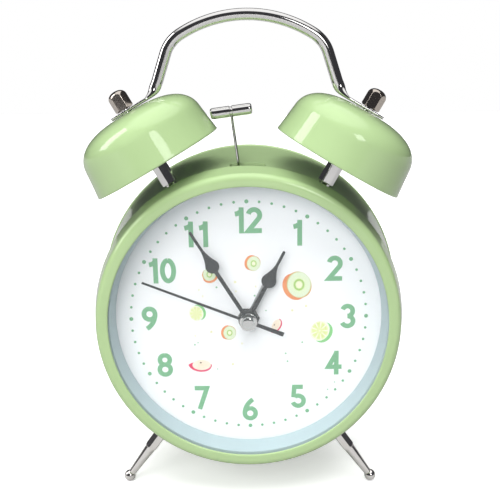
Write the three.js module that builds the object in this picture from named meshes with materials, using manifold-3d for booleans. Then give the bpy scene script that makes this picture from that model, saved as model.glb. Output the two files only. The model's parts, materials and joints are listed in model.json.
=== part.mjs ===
// Twin-bell alarm clock, full size. Millimetres, +Z up, the dial faces -Y.
// The origin is on the table, under the middle of the clock's width and depth.
import * as THREE from "three";
import { mergeVertices } from "three/addons/utils/BufferGeometryUtils.js";
import Module from "manifold-3d";

const wasm = await Module();
wasm.setup();

// ---------------------------------------------------------------- driving dimensions

const GAP = 0.3; // clearance left between pieces that rest on each other

// Where the main planes stand.
const LEG_REACH = 75.8; // drum axis to the middle of a ball foot
const LEG_ANGLE = THREE.MathUtils.degToRad(35.3);
const FOOT_BALL_RADIUS = 2;
const AXIS_HEIGHT = LEG_REACH * Math.cos(LEG_ANGLE) + FOOT_BALL_RADIUS;
const DIAL_Y = -14.5; // printed face of the dial
const BELL_PLANE_Y = -7.5; // posts, bells, hammer and handle stand in this plane
const LEG_PLANE_Y = -10; // both legs stand in this one

// Drum: a sheet steel cone, wider at the back.
const DRUM_FRONT_Y = -18.5;
const DRUM_REAR_Y = 19;
const DRUM_FRONT_RADIUS = 49.9;
const DRUM_REAR_RADIUS = 55;
const DRUM_WALL = 0.8;
const DRUM_BEAD_RADIUS = 0.9;
const SLOT_WIDTH = 12;
const SLOT_DEPTH = 4.4;

// Bezel, lens and dial.
const BEZEL_FRONT_Y = -24.5;
const BEZEL_REAR_Y = -15.5;
const BEZEL_INNER_RADIUS = 46.2;
const BEZEL_OUTER_RADIUS = 52;
const LENS_RADIUS = 48.4;
const LENS_THICKNESS = 1.5;
const DIAL_VISIBLE_RADIUS = 45.1;
const DIAL_RADIUS = 48.2;
const BACKING_RADIUS = 45.6;

// Bells and their posts, measured outwards from the drum axis.
const BELL_ANGLE = THREE.MathUtils.degToRad(30);
const BELL_RIM_AT = 59.7;
const BELL_TOP_AT = 78.9;
const BELL_RIM_RADIUS = 23;
const BELL_WALL = 0.9;
const POST_ACROSS = 4.85; // the posts are hexagonal bars
const POST_RADIUS = POST_ACROSS / Math.sqrt(3);
const STUD_RADIUS = 1.7;
const STUD_HOLE_RADIUS = 2;

// Handle: a round rod with flattened ends under the cap nuts.
const HANDLE_TOP = 99.4; // rod's centreline above the drum axis
const HANDLE_ARC_RADIUS = 41.2;
const HANDLE_ROD_RADIUS = 1.9;
const TAB_THICKNESS = 0.9;
const TAB_WIDTH = 8;
const TAB_PAST_NUT = 5.5;
const TAB_AT = BELL_TOP_AT + GAP + TAB_THICKNESS / 2;
const CAP_NUT_AT = TAB_AT + TAB_THICKNESS / 2 + GAP;
const CAP_NUT_ACROSS = 5.7;
const CAP_NUT_HEIGHT = 6.6;
const LEG_ACROSS = 4.1; // upper part of a leg, also hexagonal
const LEG_SHOULDER_AT = 62;

// Hammer: swings about a pivot inside the drum.
const HAMMER_PIVOT = 29; // above the drum axis
const HAMMER_LEAN = THREE.MathUtils.degToRad(-7.6);
const HAMMER_REACH = 40.2; // pivot to the middle of the head
const HAMMER_HEAD_LENGTH = 13.8;
const HAMMER_HEAD_RADIUS = 1.85;
const HAMMER_ROD_RADIUS = 0.45;

// Hands, in degrees clockwise from twelve: the time is 12:54:48.
const HOUR_ANGLE = 26.8;
const MINUTE_ANGLE = 328.2;
const SECOND_ANGLE = 290.7;
const ALARM_ANGLE = 21.4;

// Movement: setting arbors stand on both sides of the hand shaft.
const ARBOR_OFFSET = 14.4;
const ARBOR_RADIUS = 1;
const MOVEMENT = { halfWidth: 29, bottom: -18.5, top: 16, front: -12.5, rear: 4, split: -4.7 };
const MOVEMENT_WALL = 1.2;
const MOTION_MODULE = (2 * ARBOR_OFFSET) / (12 + 36);
const HOUR_MODULE = (2 * ARBOR_OFFSET) / (10 + 40);

// Back cover, battery bay and controls.
const COVER_BACK_Y = 22.5;
const COVER_THICKNESS = 2;
const COVER_RADIUS = 53.3;
const BAY = { halfWidth: 27.6, halfHeight: 7.95, z: -27.5, front: 6, wall: 1.5 };
const CELL_RADIUS = 7.1;
const CELL_Y = 13.4;
const KNOB_RADIUS = 8;
const KNOB_FRONT_Y = 23.2;
const BACK_Y = 30.5; // rearmost faces of the knobs
const SWITCH_Z = 24;
const SWITCH_TRAVEL = 7;
const SCREW_CIRCLE = 46.5;
const SCREW_ANGLES = [0, 118, 242];

// ---------------------------------------------------------------- materials

const finish = (color, roughness, metalness = 0) => ({ color, roughness, metalness });
const FINISHES = {
  paint: finish(0xa8c888, 0.25, 0.1),
  chrome: finish(0xc9c6c2, 0.12, 1),
  nickel: finish(0xb7b1a8, 0.22, 1),
  steel: finish(0x9a9b9d, 0.35, 1),
  brass: finish(0xc4a050, 0.35, 1),
  copper: finish(0xb06a3a, 0.4, 1),
  glass: finish(0xf2f8f8, 0.03),
  ring: finish(0xd9e8ea, 0.4),
  card: finish(0xfafcfd, 0.6),
  hands: finish(0x141414, 0.35, 0.2),
  alarmHand: finish(0xb9bcbf, 0.3, 0.9),
  cover: finish(0x9dbf80, 0.45),
  knob: finish(0x24262a, 0.45),
  movement: finish(0x2a2c30, 0.55),
  gear: finish(0xe8e4da, 0.5),
  board: finish(0x2f6b3a, 0.5),
  cell: finish(0x3a6ea5, 0.35, 0.3),
  rubber: finish(0x1d1d1d, 0.9),
};

// ---------------------------------------------------------------- solids

const clock = new THREE.Group();

// A frame whose X is right, Y is up and Z points at the viewer, centred on the dial's face.
const dialFrame = new THREE.Group();
dialFrame.position.set(0, DIAL_Y, AXIS_HEIGHT);
dialFrame.rotation.x = Math.PI / 2;
clock.add(dialFrame);

// A frame round the drum axis, its Y along that axis and its origin level with the clock's.
const drumFrame = new THREE.Group();
drumFrame.position.z = AXIS_HEIGHT;
clock.add(drumFrame);

// A frame whose Y points outwards from the drum axis, turned clockwise from the top.
function radialFrame(angle, planeY) {
  const frame = new THREE.Group();
  frame.position.set(0, planeY, AXIS_HEIGHT);
  frame.rotation.set(Math.PI / 2, angle, 0, "YXZ");
  clock.add(frame);
  return frame;
}

function addPiece(frame, name, shape, finishName) {
  const geometry = shape.isBufferGeometry ? shape : geometryOf(shape);
  const mesh = new THREE.Mesh(geometry, new THREE.MeshStandardMaterial(FINISHES[finishName]));
  mesh.name = name;
  frame.add(mesh);
  return mesh;
}

function solidOf(geometry) {
  const bare = geometry.clone();
  bare.deleteAttribute("normal");
  bare.deleteAttribute("uv");
  const merged = mergeVertices(bare, 1e-4);
  const mesh = new wasm.Mesh({
    numProp: 3,
    vertProperties: merged.attributes.position.array,
    triVerts: new Uint32Array(merged.index.array),
  });
  return new wasm.Manifold(mesh);
}

function geometryOf(solid) {
  const mesh = solid.getMesh();
  const geometry = new THREE.BufferGeometry();
  geometry.setAttribute("position", new THREE.BufferAttribute(mesh.vertProperties, 3));
  geometry.setIndex(new THREE.BufferAttribute(mesh.triVerts, 1));
  geometry.computeVertexNormals();
  return geometry;
}

const joined = (...geometries) => geometries.map(solidOf).reduce((whole, next) => whole.add(next));
const common = (first, second) => solidOf(first).intersect(solidOf(second));
const cutBy = (body, ...cutters) => cutters.map(solidOf).reduce((left, next) => left.subtract(next), body);

// A body of revolution about Y from [radius, height] points, anticlockwise with radius to the right.
function turned(profile, segments = 32) {
  const points = profile.map(([radius, height]) => new THREE.Vector2(radius, height));
  return new THREE.LatheGeometry(points, segments);
}

// The same for a ring, whose profile closes on itself.
const turnedRing = (profile, segments = 32) => turned([...profile, profile[0]], segments);

// A round bar from one height to another along Y.
const bar = (radius, from, to, segments = 16) =>
  turned([[0, from], [radius, from], [radius, to], [0, to]], segments);

// A block between two corners.
function block(low, high) {
  const size = high.map((value, axis) => value - low[axis]);
  const middle = high.map((value, axis) => (value + low[axis]) / 2);
  return new THREE.BoxGeometry(...size).translate(...middle);
}

// A flat plate of an outline in X and Y, from z = from to z = to.
function plate(outline, from, to, holes = []) {
  const shape = new THREE.Shape(outline.map(([x, y]) => new THREE.Vector2(x, y)));
  shape.holes = holes.map((hole) => new THREE.Path(hole.map(([x, y]) => new THREE.Vector2(x, y))));
  const settings = { depth: to - from, bevelEnabled: false };
  return new THREE.ExtrudeGeometry(shape, settings).translate(0, 0, from);
}

function circle(radius, count, x = 0, y = 0, start = 0) {
  const corner = (_, index) => {
    const angle = start + (2 * Math.PI * index) / count;
    return [x + radius * Math.cos(angle), y + radius * Math.sin(angle)];
  };
  return Array.from({ length: count }, corner);
}

// The points inside a curve of revolution's wall.
function offsetInwards(points, wall) {
  return points.map(([radius, height], index) => {
    const before = points[Math.max(index - 1, 0)];
    const after = points[Math.min(index + 1, points.length - 1)];
    const along = [after[0] - before[0], after[1] - before[1]];
    const length = Math.hypot(...along);
    return [radius - (wall * along[1]) / length, height + (wall * along[0]) / length];
  });
}

function cubic(start, first, second, end, steps) {
  const [a, b, c, d] = [start, first, second, end].map((point) => new THREE.Vector2(...point));
  const curve = new THREE.CubicBezierCurve(a, b, c, d);
  return curve.getPoints(steps).map((point) => [point.x, point.y]);
}

// ---------------------------------------------------------------- drum

const DRUM_SLOPE = (DRUM_REAR_RADIUS - DRUM_FRONT_RADIUS) / (DRUM_REAR_Y - DRUM_FRONT_Y);
const drumRadiusAt = (y) => DRUM_FRONT_RADIUS + DRUM_SLOPE * (y - DRUM_FRONT_Y);
const DRUM_SEGMENTS = 48;

function drum() {
  const beadY = DRUM_REAR_Y + DRUM_BEAD_RADIUS;
  const bead = [-60, 0, 60, 120, 180].map((degrees) => {
    const angle = THREE.MathUtils.degToRad(degrees);
    const radius = DRUM_REAR_RADIUS - DRUM_WALL / 2 + DRUM_BEAD_RADIUS * Math.cos(angle);
    return [radius, beadY + DRUM_BEAD_RADIUS * Math.sin(angle)];
  });
  const shell = turnedRing(
    [
      [DRUM_FRONT_RADIUS, DRUM_FRONT_Y],
      [DRUM_REAR_RADIUS, DRUM_REAR_Y - DRUM_BEAD_RADIUS],
      ...bead,
      [DRUM_REAR_RADIUS - DRUM_WALL, DRUM_REAR_Y - DRUM_BEAD_RADIUS],
      [DRUM_FRONT_RADIUS - DRUM_WALL, DRUM_FRONT_Y],
    ],
    DRUM_SEGMENTS,
  );
  const studHole = (angle, planeY) =>
    bar(STUD_HOLE_RADIUS, 45, 57, 12).rotateX(Math.PI / 2).rotateY(angle).translate(0, planeY, 0);
  const holes = [-1, 1].flatMap((sign) => [
    studHole(sign * BELL_ANGLE, BELL_PLANE_Y),
    studHole(Math.PI - sign * LEG_ANGLE, LEG_PLANE_Y),
  ]);
  const slotHalf = [SLOT_WIDTH / 2, SLOT_DEPTH / 2];
  const slot = block(
    [-slotHalf[0], BELL_PLANE_Y - slotHalf[1], 40],
    [slotHalf[0], BELL_PLANE_Y + slotHalf[1], 60],
  );
  const lugs = SCREW_ANGLES.map((degrees) => {
    const lug = block([-4, 15, SCREW_CIRCLE - 3.5], [4, 17, drumRadiusAt(15) - DRUM_WALL / 2]);
    return lug.rotateY(THREE.MathUtils.degToRad(degrees));
  });
  const screwHoles = SCREW_ANGLES.map((degrees) => screwPlace(bar(1.5, 10, 20, 10), degrees));
  return cutBy(joined(shell, ...lugs), ...holes, slot, ...screwHoles);
}

// Moves a piece from the drum axis out to a cover screw.
function screwPlace(geometry, degrees) {
  const angle = THREE.MathUtils.degToRad(degrees);
  return geometry.translate(SCREW_CIRCLE * Math.sin(angle), 0, SCREW_CIRCLE * Math.cos(angle));
}

addPiece(drumFrame, "case_drum", drum(), "paint");

// ---------------------------------------------------------------- bezel, lens and dial

function bezel() {
  const lip = BEZEL_FRONT_Y + 0.6;
  const rounding = cubic(
    [50.7, BEZEL_FRONT_Y + 2.9],
    [50.4, BEZEL_FRONT_Y + 0.9],
    [49.6, BEZEL_FRONT_Y],
    [48, BEZEL_FRONT_Y],
    4,
  );
  return turnedRing(
    [
      [BEZEL_OUTER_RADIUS, BEZEL_REAR_Y],
      [BEZEL_OUTER_RADIUS - 0.85, BEZEL_REAR_Y],
      [49.5, BEZEL_FRONT_Y + 2.9],
      [48.9, lip],
      [BEZEL_INNER_RADIUS, lip],
      [BEZEL_INNER_RADIUS, BEZEL_FRONT_Y + 0.25],
      [46.7, BEZEL_FRONT_Y],
      ...rounding.reverse(),
    ],
    56,
  );
}

const LENS_FRONT_Y = BEZEL_FRONT_Y + 0.6 + GAP;
const LENS_REAR_Y = LENS_FRONT_Y + LENS_THICKNESS;
addPiece(drumFrame, "bezel_ring", bezel(), "paint");
addPiece(drumFrame, "glass_lens", bar(LENS_RADIUS, LENS_FRONT_Y, LENS_REAR_Y, 56), "glass");

const dialRingProfile = [
  [DIAL_VISIBLE_RADIUS, DIAL_Y - GAP],
  [BEZEL_INNER_RADIUS, LENS_REAR_Y + GAP],
  [LENS_RADIUS, LENS_REAR_Y + GAP],
  [LENS_RADIUS, DIAL_Y - GAP],
];
addPiece(drumFrame, "dial_ring", turnedRing(dialRingProfile, 56), "ring");

function disc(radius, hole, front, rear) {
  return turnedRing([[radius, front], [radius, rear], [hole, rear], [hole, front]], 48);
}

const BUSH_RADIUS = 2.9;
const CARD_THICKNESS = 0.4;
const PLATE_FRONT_Y = DIAL_Y + CARD_THICKNESS + GAP;
const card = disc(DIAL_RADIUS, BUSH_RADIUS + GAP, DIAL_Y, DIAL_Y + CARD_THICKNESS);
const backing = disc(BACKING_RADIUS, BUSH_RADIUS + GAP, PLATE_FRONT_Y, PLATE_FRONT_Y + 1);
addPiece(drumFrame, "dial_card", card, "card");
addPiece(drumFrame, "dial_plate", backing, "steel");

// ---------------------------------------------------------------- bells, posts and legs

function bell() {
  const flank = [
    [BELL_RIM_RADIUS, BELL_RIM_AT],
    [22.6, 64],
    [22.2, 67.5],
  ];
  const dome = cubic([21.8, 69.7], [21.1, 75.2], [15.5, 78.4], [6.5, BELL_TOP_AT], 6);
  const outside = [...flank, ...dome, [STUD_HOLE_RADIUS, BELL_TOP_AT]];
  const inside = offsetInwards(outside, BELL_WALL);
  inside[0] = [BELL_RIM_RADIUS - BELL_WALL, BELL_RIM_AT];
  inside[inside.length - 1] = [STUD_HOLE_RADIUS, BELL_TOP_AT - BELL_WALL];
  return turnedRing([...outside, ...inside.reverse()], 32);
}

// Where a radial piece starts and its nut ends, just clear of the sloping drum's two faces.
const seatAt = (planeY) => drumRadiusAt(planeY + POST_RADIUS) + GAP;
const nutAt = (planeY) => drumRadiusAt(planeY - POST_RADIUS) - DRUM_WALL - 0.5;
const STUD_INSIDE = 4; // how far a stud reaches past its nut's outer face

// A hexagonal bar along Y: unturned, a flat faces the viewer.
function hexBar(across, from, to, turn = 0) {
  return plate(circle(across / Math.sqrt(3), 6, 0, 0, turn), -to, -from).rotateX(Math.PI / 2);
}

function post(turn) {
  const shoulder = BELL_TOP_AT - BELL_WALL - GAP;
  const studEnd = nutAt(BELL_PLANE_Y) - STUD_INSIDE;
  const stud = bar(STUD_RADIUS, studEnd, CAP_NUT_AT + 2.6);
  return joined(hexBar(POST_ACROSS, seatAt(BELL_PLANE_Y), shoulder, turn), stud);
}

function hexNut(across, hole, from, to) {
  const corner = across / Math.sqrt(3);
  const outline = circle(corner, 6);
  const bore = circle(hole, 12).reverse();
  return plate(outline, -to, -from, [bore]).rotateX(Math.PI / 2);
}

// A hexagon whose facets run up into a rounded crown.
function capNut(turn) {
  const corner = CAP_NUT_ACROSS / Math.sqrt(3);
  const crownFrom = 4;
  const height = CAP_NUT_HEIGHT;
  const crown = cubic([corner, crownFrom], [corner - 0.1, 5.4], [2.2, height], [0, height], 5);
  const bullet = [[0, 0], [corner - 0.4, 0], [corner, 0.3], ...crown];
  const round = turned(bullet.map(([radius, above]) => [radius, CAP_NUT_AT + above]), 24);
  const blank = hexBar(CAP_NUT_ACROSS, CAP_NUT_AT - 1, CAP_NUT_AT + height + 1, turn);
  return cutBy(common(blank, round), bar(STUD_HOLE_RADIUS, CAP_NUT_AT - 1, CAP_NUT_AT + 3, 12));
}

function leg(turn) {
  const seat = seatAt(LEG_PLANE_Y);
  const studEnd = nutAt(LEG_PLANE_Y) - STUD_INSIDE;
  const corner = LEG_ACROSS / Math.sqrt(3);
  const coneTop = 2;
  const chamfer = corner - coneTop + 0.4;
  const blank = turned(
    [
      [0, seat],
      [corner, seat],
      [corner, LEG_SHOULDER_AT - chamfer],
      [coneTop, LEG_SHOULDER_AT],
      [0, LEG_SHOULDER_AT],
    ],
    24,
  );
  const ball = [-30, 0, 30, 60].map((degrees) => {
    const angle = THREE.MathUtils.degToRad(degrees);
    return [FOOT_BALL_RADIUS * Math.cos(angle), LEG_REACH + FOOT_BALL_RADIUS * Math.sin(angle)];
  });
  const cone = turned(
    [
      [0, studEnd],
      [STUD_RADIUS, studEnd],
      [STUD_RADIUS, LEG_SHOULDER_AT - 1],
      [coneTop - 0.1, LEG_SHOULDER_AT - 0.5],
      [1.3, LEG_REACH - 1.8],
      ...ball,
      [0, LEG_REACH + FOOT_BALL_RADIUS],
    ],
    16,
  );
  return common(blank, hexBar(LEG_ACROSS, seat - 1, LEG_SHOULDER_AT + 1, turn)).add(solidOf(cone));
}

function innerNut(planeY) {
  const outer = nutAt(planeY);
  return hexNut(6, STUD_HOLE_RADIUS, outer - 2.4, outer);
}

// Every hexagon stands as its thread left it, so the turns differ: degrees for the post and the cap nut.
const SIDES = [["left", -1, 36, 0], ["right", 1, 0, 10]];
const LEG_TURN = THREE.MathUtils.degToRad(-15);
for (const [side, sign, postDegrees, nutDegrees] of SIDES) {
  const [postTurn, nutTurn] = [postDegrees, nutDegrees].map(THREE.MathUtils.degToRad);
  const top = radialFrame(sign * BELL_ANGLE, BELL_PLANE_Y);
  addPiece(top, `bell_${side}`, bell(), "paint");
  addPiece(top, `bell_post_${side}`, post(postTurn), "chrome");
  addPiece(top, `post_nut_${side}`, innerNut(BELL_PLANE_Y), "steel");
  addPiece(top, `cap_nut_${side}`, capNut(nutTurn), "nickel");
  const below = radialFrame(Math.PI - sign * LEG_ANGLE, LEG_PLANE_Y);
  addPiece(below, `leg_${side}`, leg(sign * LEG_TURN), "nickel");
  addPiece(below, `leg_nut_${side}`, innerNut(LEG_PLANE_Y), "steel");
}

// ---------------------------------------------------------------- handle

// The rod's centreline in X and Z about the drum axis, from the left tab to the right one.
function handleRoute() {
  const alongTab = (distance, outwards = TAB_AT) => {
    const [sin, cos] = [Math.sin(BELL_ANGLE), Math.cos(BELL_ANGLE)];
    return new THREE.Vector2(outwards * sin + distance * cos, outwards * cos - distance * sin);
  };
  const shoulder = new THREE.Vector2(25.2, 90.8);
  const lowBend = alongTab(-11.2, TAB_AT + 0.55);
  const tabStart = alongTab(-8);
  const tabEnd = alongTab(TAB_PAST_NUT);
  const arcCentre = HANDLE_TOP - HANDLE_ARC_RADIUS;
  const arcEnd = 0.56;
  const arcPoint = (angle) =>
    new THREE.Vector2(HANDLE_ARC_RADIUS * Math.sin(angle), arcCentre + HANDLE_ARC_RADIUS * Math.cos(angle));
  const half = [];
  for (let step = 0; step <= 5; step += 1) half.push(arcPoint((arcEnd * step) / 5));
  const legTop = shoulder.clone().lerp(lowBend, 0.22);
  half.push(...bend(arcPoint(arcEnd), shoulder, legTop, 5).slice(1));
  const legFoot = shoulder.clone().lerp(lowBend, 0.74);
  half.push(...bend(legFoot, lowBend, tabStart, 6));
  half.push(alongTab(-5), alongTab(1), tabEnd);
  const mirrored = half.slice(1).map((point) => new THREE.Vector2(-point.x, point.y));
  return [...mirrored.reverse(), ...half];
}

function bend(from, corner, to, steps) {
  return new THREE.QuadraticBezierCurve(from, corner, to).getPoints(steps);
}

// A rod through the route whose section goes from round to flat near both ends.
function handle() {
  const route = handleRoute();
  const sides = 12;
  const flatFrom = 13;
  const flatTo = 7.5;
  const nutPoint = TAB_PAST_NUT;
  const positions = [];
  const total = route.length;
  const fromEnd = new Array(total).fill(0);
  for (let i = 1; i < total; i += 1) fromEnd[i] = fromEnd[i - 1] + route[i].distanceTo(route[i - 1]);
  route.forEach((point, index) => {
    const before = route[Math.max(index - 1, 0)];
    const after = route[Math.min(index + 1, total - 1)];
    const along = after.clone().sub(before).normalize();
    const inside = Math.min(fromEnd[index], fromEnd[total - 1] - fromEnd[index]) - nutPoint;
    const flat = 1 - THREE.MathUtils.smoothstep(inside, flatTo, flatFrom);
    const half = THREE.MathUtils.lerp(HANDLE_ROD_RADIUS, TAB_THICKNESS / 2, flat);
    const wide = THREE.MathUtils.lerp(HANDLE_ROD_RADIUS, TAB_WIDTH / 2, flat);
    const power = THREE.MathUtils.lerp(1, 0.4, flat);
    const atEnd = index === 0 || index === total - 1;
    const spread = atEnd ? 0.6 : 1;
    for (let side = 0; side < sides; side += 1) {
      const angle = (2 * Math.PI * (side + 0.5)) / sides;
      const up = half * Math.sign(Math.sin(angle)) * Math.abs(Math.sin(angle)) ** power;
      const out = wide * spread * Math.sign(Math.cos(angle)) * Math.abs(Math.cos(angle)) ** power;
      positions.push(point.x - up * along.y, out, point.y + up * along.x);
    }
  });
  const faces = [];
  for (let ring = 0; ring < total - 1; ring += 1) {
    for (let side = 0; side < sides; side += 1) {
      const next = (side + 1) % sides;
      const [a, b] = [ring * sides + side, ring * sides + next];
      faces.push(a, b, a + sides, b, b + sides, a + sides);
    }
  }
  const last = (total - 1) * sides;
  for (let side = 1; side < sides - 1; side += 1) {
    faces.push(0, side + 1, side, last, last + side, last + side + 1);
  }
  const rod = new THREE.BufferGeometry();
  rod.setAttribute("position", new THREE.Float32BufferAttribute(positions, 3));
  rod.setIndex(faces);
  const hole = (sign) => {
    const cutter = bar(STUD_HOLE_RADIUS, TAB_AT - 3, TAB_AT + 3, 12).rotateX(Math.PI / 2);
    return cutter.rotateY(sign * BELL_ANGLE);
  };
  return cutBy(solidOf(rod), hole(-1), hole(1));
}

const handleFrame = new THREE.Group();
handleFrame.position.set(0, BELL_PLANE_Y, AXIS_HEIGHT);
clock.add(handleFrame);
addPiece(handleFrame, "handle", handle(), "chrome");

// ---------------------------------------------------------------- hammer and striker

// A frame at the hammer's pivot, Z up the rod, leaning towards the left bell.
const hammerFrame = new THREE.Group();
hammerFrame.position.set(0, BELL_PLANE_Y, AXIS_HEIGHT + HAMMER_PIVOT);
hammerFrame.rotation.y = HAMMER_LEAN;
clock.add(hammerFrame);

const PIVOT_RADIUS = 0.9;
const LEVER_TOP = 9.7;
const LEVER_HALF = 0.6;
const ARMATURE = { halfWidth: 2.2, top: -4.4, bottom: -8.8, halfDepth: 2.2 };

function hammerHead() {
  const end = HAMMER_HEAD_LENGTH / 2;
  const edge = 0.7;
  const outline = [
    [0, -end],
    [HAMMER_HEAD_RADIUS - edge, -end],
    [HAMMER_HEAD_RADIUS, -end + edge],
    [HAMMER_HEAD_RADIUS, -0.45],
    [HAMMER_HEAD_RADIUS - 0.3, -0.3],
    [HAMMER_HEAD_RADIUS - 0.3, 0.3],
    [HAMMER_HEAD_RADIUS, 0.45],
    [HAMMER_HEAD_RADIUS, end - edge],
    [HAMMER_HEAD_RADIUS - edge, end],
    [0, end],
  ];
  const head = turned(outline, 20).rotateZ(-Math.PI / 2).translate(0, 0, HAMMER_REACH);
  const socket = bar(HAMMER_ROD_RADIUS + GAP, HAMMER_REACH - 3, HAMMER_REACH, 8).rotateX(Math.PI / 2);
  return cutBy(solidOf(head), socket);
}

function hammerLever() {
  const arm = plate(
    [
      [-3, 0],
      [-1.4, -4],
      [-ARMATURE.halfWidth, ARMATURE.top],
      [-ARMATURE.halfWidth, ARMATURE.bottom],
      [ARMATURE.halfWidth, ARMATURE.bottom],
      [ARMATURE.halfWidth, ARMATURE.top],
      [1.4, -4],
      [3, 0],
      [1.2, LEVER_TOP],
      [-1.2, LEVER_TOP],
    ],
    -LEVER_HALF,
    LEVER_HALF,
    [circle(PIVOT_RADIUS + GAP, 12).reverse()],
  ).rotateX(Math.PI / 2);
  const { halfWidth, halfDepth, bottom, top } = ARMATURE;
  return joined(arm, block([-halfWidth, -halfDepth, bottom], [halfWidth, halfDepth, top]));
}

const rodTop = HAMMER_REACH - GAP;
const hammerRod = bar(HAMMER_ROD_RADIUS, LEVER_TOP + GAP, rodTop, 8).rotateX(Math.PI / 2);
addPiece(hammerFrame, "hammer_head", hammerHead(), "chrome");
addPiece(hammerFrame, "hammer_rod", hammerRod, "chrome");
addPiece(hammerFrame, "hammer_lever", hammerLever(), "steel");

// The fixed pieces round the pivot, about the drum axis.
const COIL_Z = 22.3;
const COIL_FROM = 6;
const COIL_TO = 20;
const BRACKET_Y = BELL_PLANE_Y + 5.2;

function hammerBracket() {
  const web = plate(
    [[-8, 17], [24, 17], [24, 28], [9, 28], [4, 34], [-4, 34], [-8, 28]],
    -BRACKET_Y - 1,
    -BRACKET_Y,
    [circle(PIVOT_RADIUS + GAP, 12, 0, HAMMER_PIVOT).reverse()],
  ).rotateX(Math.PI / 2);
  const flange = block([-8, PLATE_FRONT_Y + 1 + GAP, 29], [-5.5, BRACKET_Y + 1, 31]);
  const coilStop = block([22.6, BELL_PLANE_Y - 4, 18], [24, BRACKET_Y + 1, 27]);
  return joined(web, flange, coilStop);
}

function pivotPin() {
  const rear = BRACKET_Y + 1 + GAP;
  const front = BELL_PLANE_Y - LEVER_HALF - GAP;
  return turned(
    [
      [0, front - 0.8],
      [1.6, front - 0.8],
      [1.6, front],
      [PIVOT_RADIUS, front],
      [PIVOT_RADIUS, rear],
      [1.6, rear],
      [1.6, rear + 0.8],
      [0, rear + 0.8],
    ],
    12,
  ).translate(0, 0, HAMMER_PIVOT);
}

function strikerCoil() {
  const [bore, flange, winding] = [1.9, 4.7, 3.0];
  return turnedRing(
    [
      [bore, COIL_FROM],
      [flange, COIL_FROM],
      [flange, COIL_FROM + 1],
      [winding + 1.2, COIL_FROM + 1],
      [winding + 1.2, COIL_TO - 1],
      [flange, COIL_TO - 1],
      [flange, COIL_TO],
      [bore, COIL_TO],
    ],
    20,
  ).rotateZ(-Math.PI / 2).translate(0, BELL_PLANE_Y, COIL_Z);
}

const strikerCore = bar(1.5, COIL_FROM - 1.2, 22.3, 12).rotateZ(-Math.PI / 2);
addPiece(drumFrame, "hammer_bracket", hammerBracket(), "steel");
addPiece(drumFrame, "hammer_pivot", pivotPin(), "steel");
addPiece(drumFrame, "striker_coil", strikerCoil(), "copper");
addPiece(drumFrame, "striker_core", strikerCore.translate(0, BELL_PLANE_Y, COIL_Z), "steel");

// ---------------------------------------------------------------- hands

// Half a hand's outline, up its right side; the left side is its mirror image.
function handOutline({ hub, shaft, bulb, bulbAt, taperEnd, needle, tip }) {
  const right = [];
  for (let degrees = -90; degrees < 70; degrees += 20) {
    const angle = THREE.MathUtils.degToRad(degrees);
    right.push([hub * Math.cos(angle), hub * Math.sin(angle)]);
  }
  right.push([shaft / 2, hub], [shaft / 2, bulbAt - bulb * 0.95]);
  for (let degrees = -60; degrees <= 30; degrees += 15) {
    const angle = THREE.MathUtils.degToRad(degrees);
    right.push([bulb * Math.cos(angle), bulbAt + bulb * Math.sin(angle)]);
  }
  right.push([needle * 0.8, (bulbAt + bulb + taperEnd) / 2], [needle / 2, taperEnd]);
  right.push([0.15, tip]);
  right[0][0] = 0.01;
  const left = right.map(([x, y]) => [-x, y]).reverse();
  return [...right, ...left];
}

const HOUR_HAND = { hub: 3.3, shaft: 1.3, bulb: 2.5, bulbAt: 15.2, taperEnd: 21.2, needle: 0.9, tip: 26.6 };
const MINUTE_HAND = { hub: 3.3, shaft: 1.3, bulb: 2.3, bulbAt: 22.2, taperEnd: 28.4, needle: 0.9, tip: 36 };
const SECOND_TAIL = 12.7;
const SECOND_TIP = 37.8;
const ALARM_LENGTH = 13;

// Sleeves round the hand shaft, from the outermost in: outer and inner radius, front end.
const ALARM_PIPE = { outer: 2.2, inner: 1.75, front: 1.6 };
const HOUR_PIPE = { outer: 1.55, inner: 1.15, front: 3 };
const MINUTE_PIPE = { outer: 0.95, inner: 0.6, front: 4.2 };
const SECOND_ARBOR_RADIUS = 0.42;
const PRESS_GAP = 0.12;

function handPlate(outline, pipe, from, to, angle) {
  const bore = circle(pipe.outer + PRESS_GAP, 16).reverse();
  return plate(outline, from, to, [bore]).rotateZ(-THREE.MathUtils.degToRad(angle));
}

const alarmOutline = [
  ...circle(3, 14, 0, 0, Math.PI * 0.62).slice(0, 13),
  [0.9, 3],
  [0.3, ALARM_LENGTH],
  [-0.3, ALARM_LENGTH],
  [-0.9, 3],
];
const alarmPlate = handPlate(alarmOutline, ALARM_PIPE, 1.25, 1.55, ALARM_ANGLE);
addPiece(dialFrame, "alarm_hand", alarmPlate, "alarmHand");
const hourPlate = handPlate(handOutline(HOUR_HAND), HOUR_PIPE, 2.1, 2.6, HOUR_ANGLE);
addPiece(dialFrame, "hour_hand", hourPlate, "hands");
const minutePlate = handPlate(handOutline(MINUTE_HAND), MINUTE_PIPE, 3.3, 3.8, MINUTE_ANGLE);
addPiece(dialFrame, "minute_hand", minutePlate, "hands");

const secondOutline = [
  [-0.75, -SECOND_TAIL],
  [0.75, -SECOND_TAIL],
  [0.6, -2.2],
  [2.2, -0.8],
  [2.2, 0.8],
  [0.5, 2.4],
  [0.35, SECOND_TIP],
  [-0.35, SECOND_TIP],
  [-0.5, 2.4],
  [-2.2, 0.8],
  [-2.2, -0.8],
  [-0.6, -2.2],
];
const secondBore = { outer: SECOND_ARBOR_RADIUS };
addPiece(dialFrame, "second_hand", handPlate(secondOutline, secondBore, 4.5, 4.8, SECOND_ANGLE), "hands");

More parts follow.
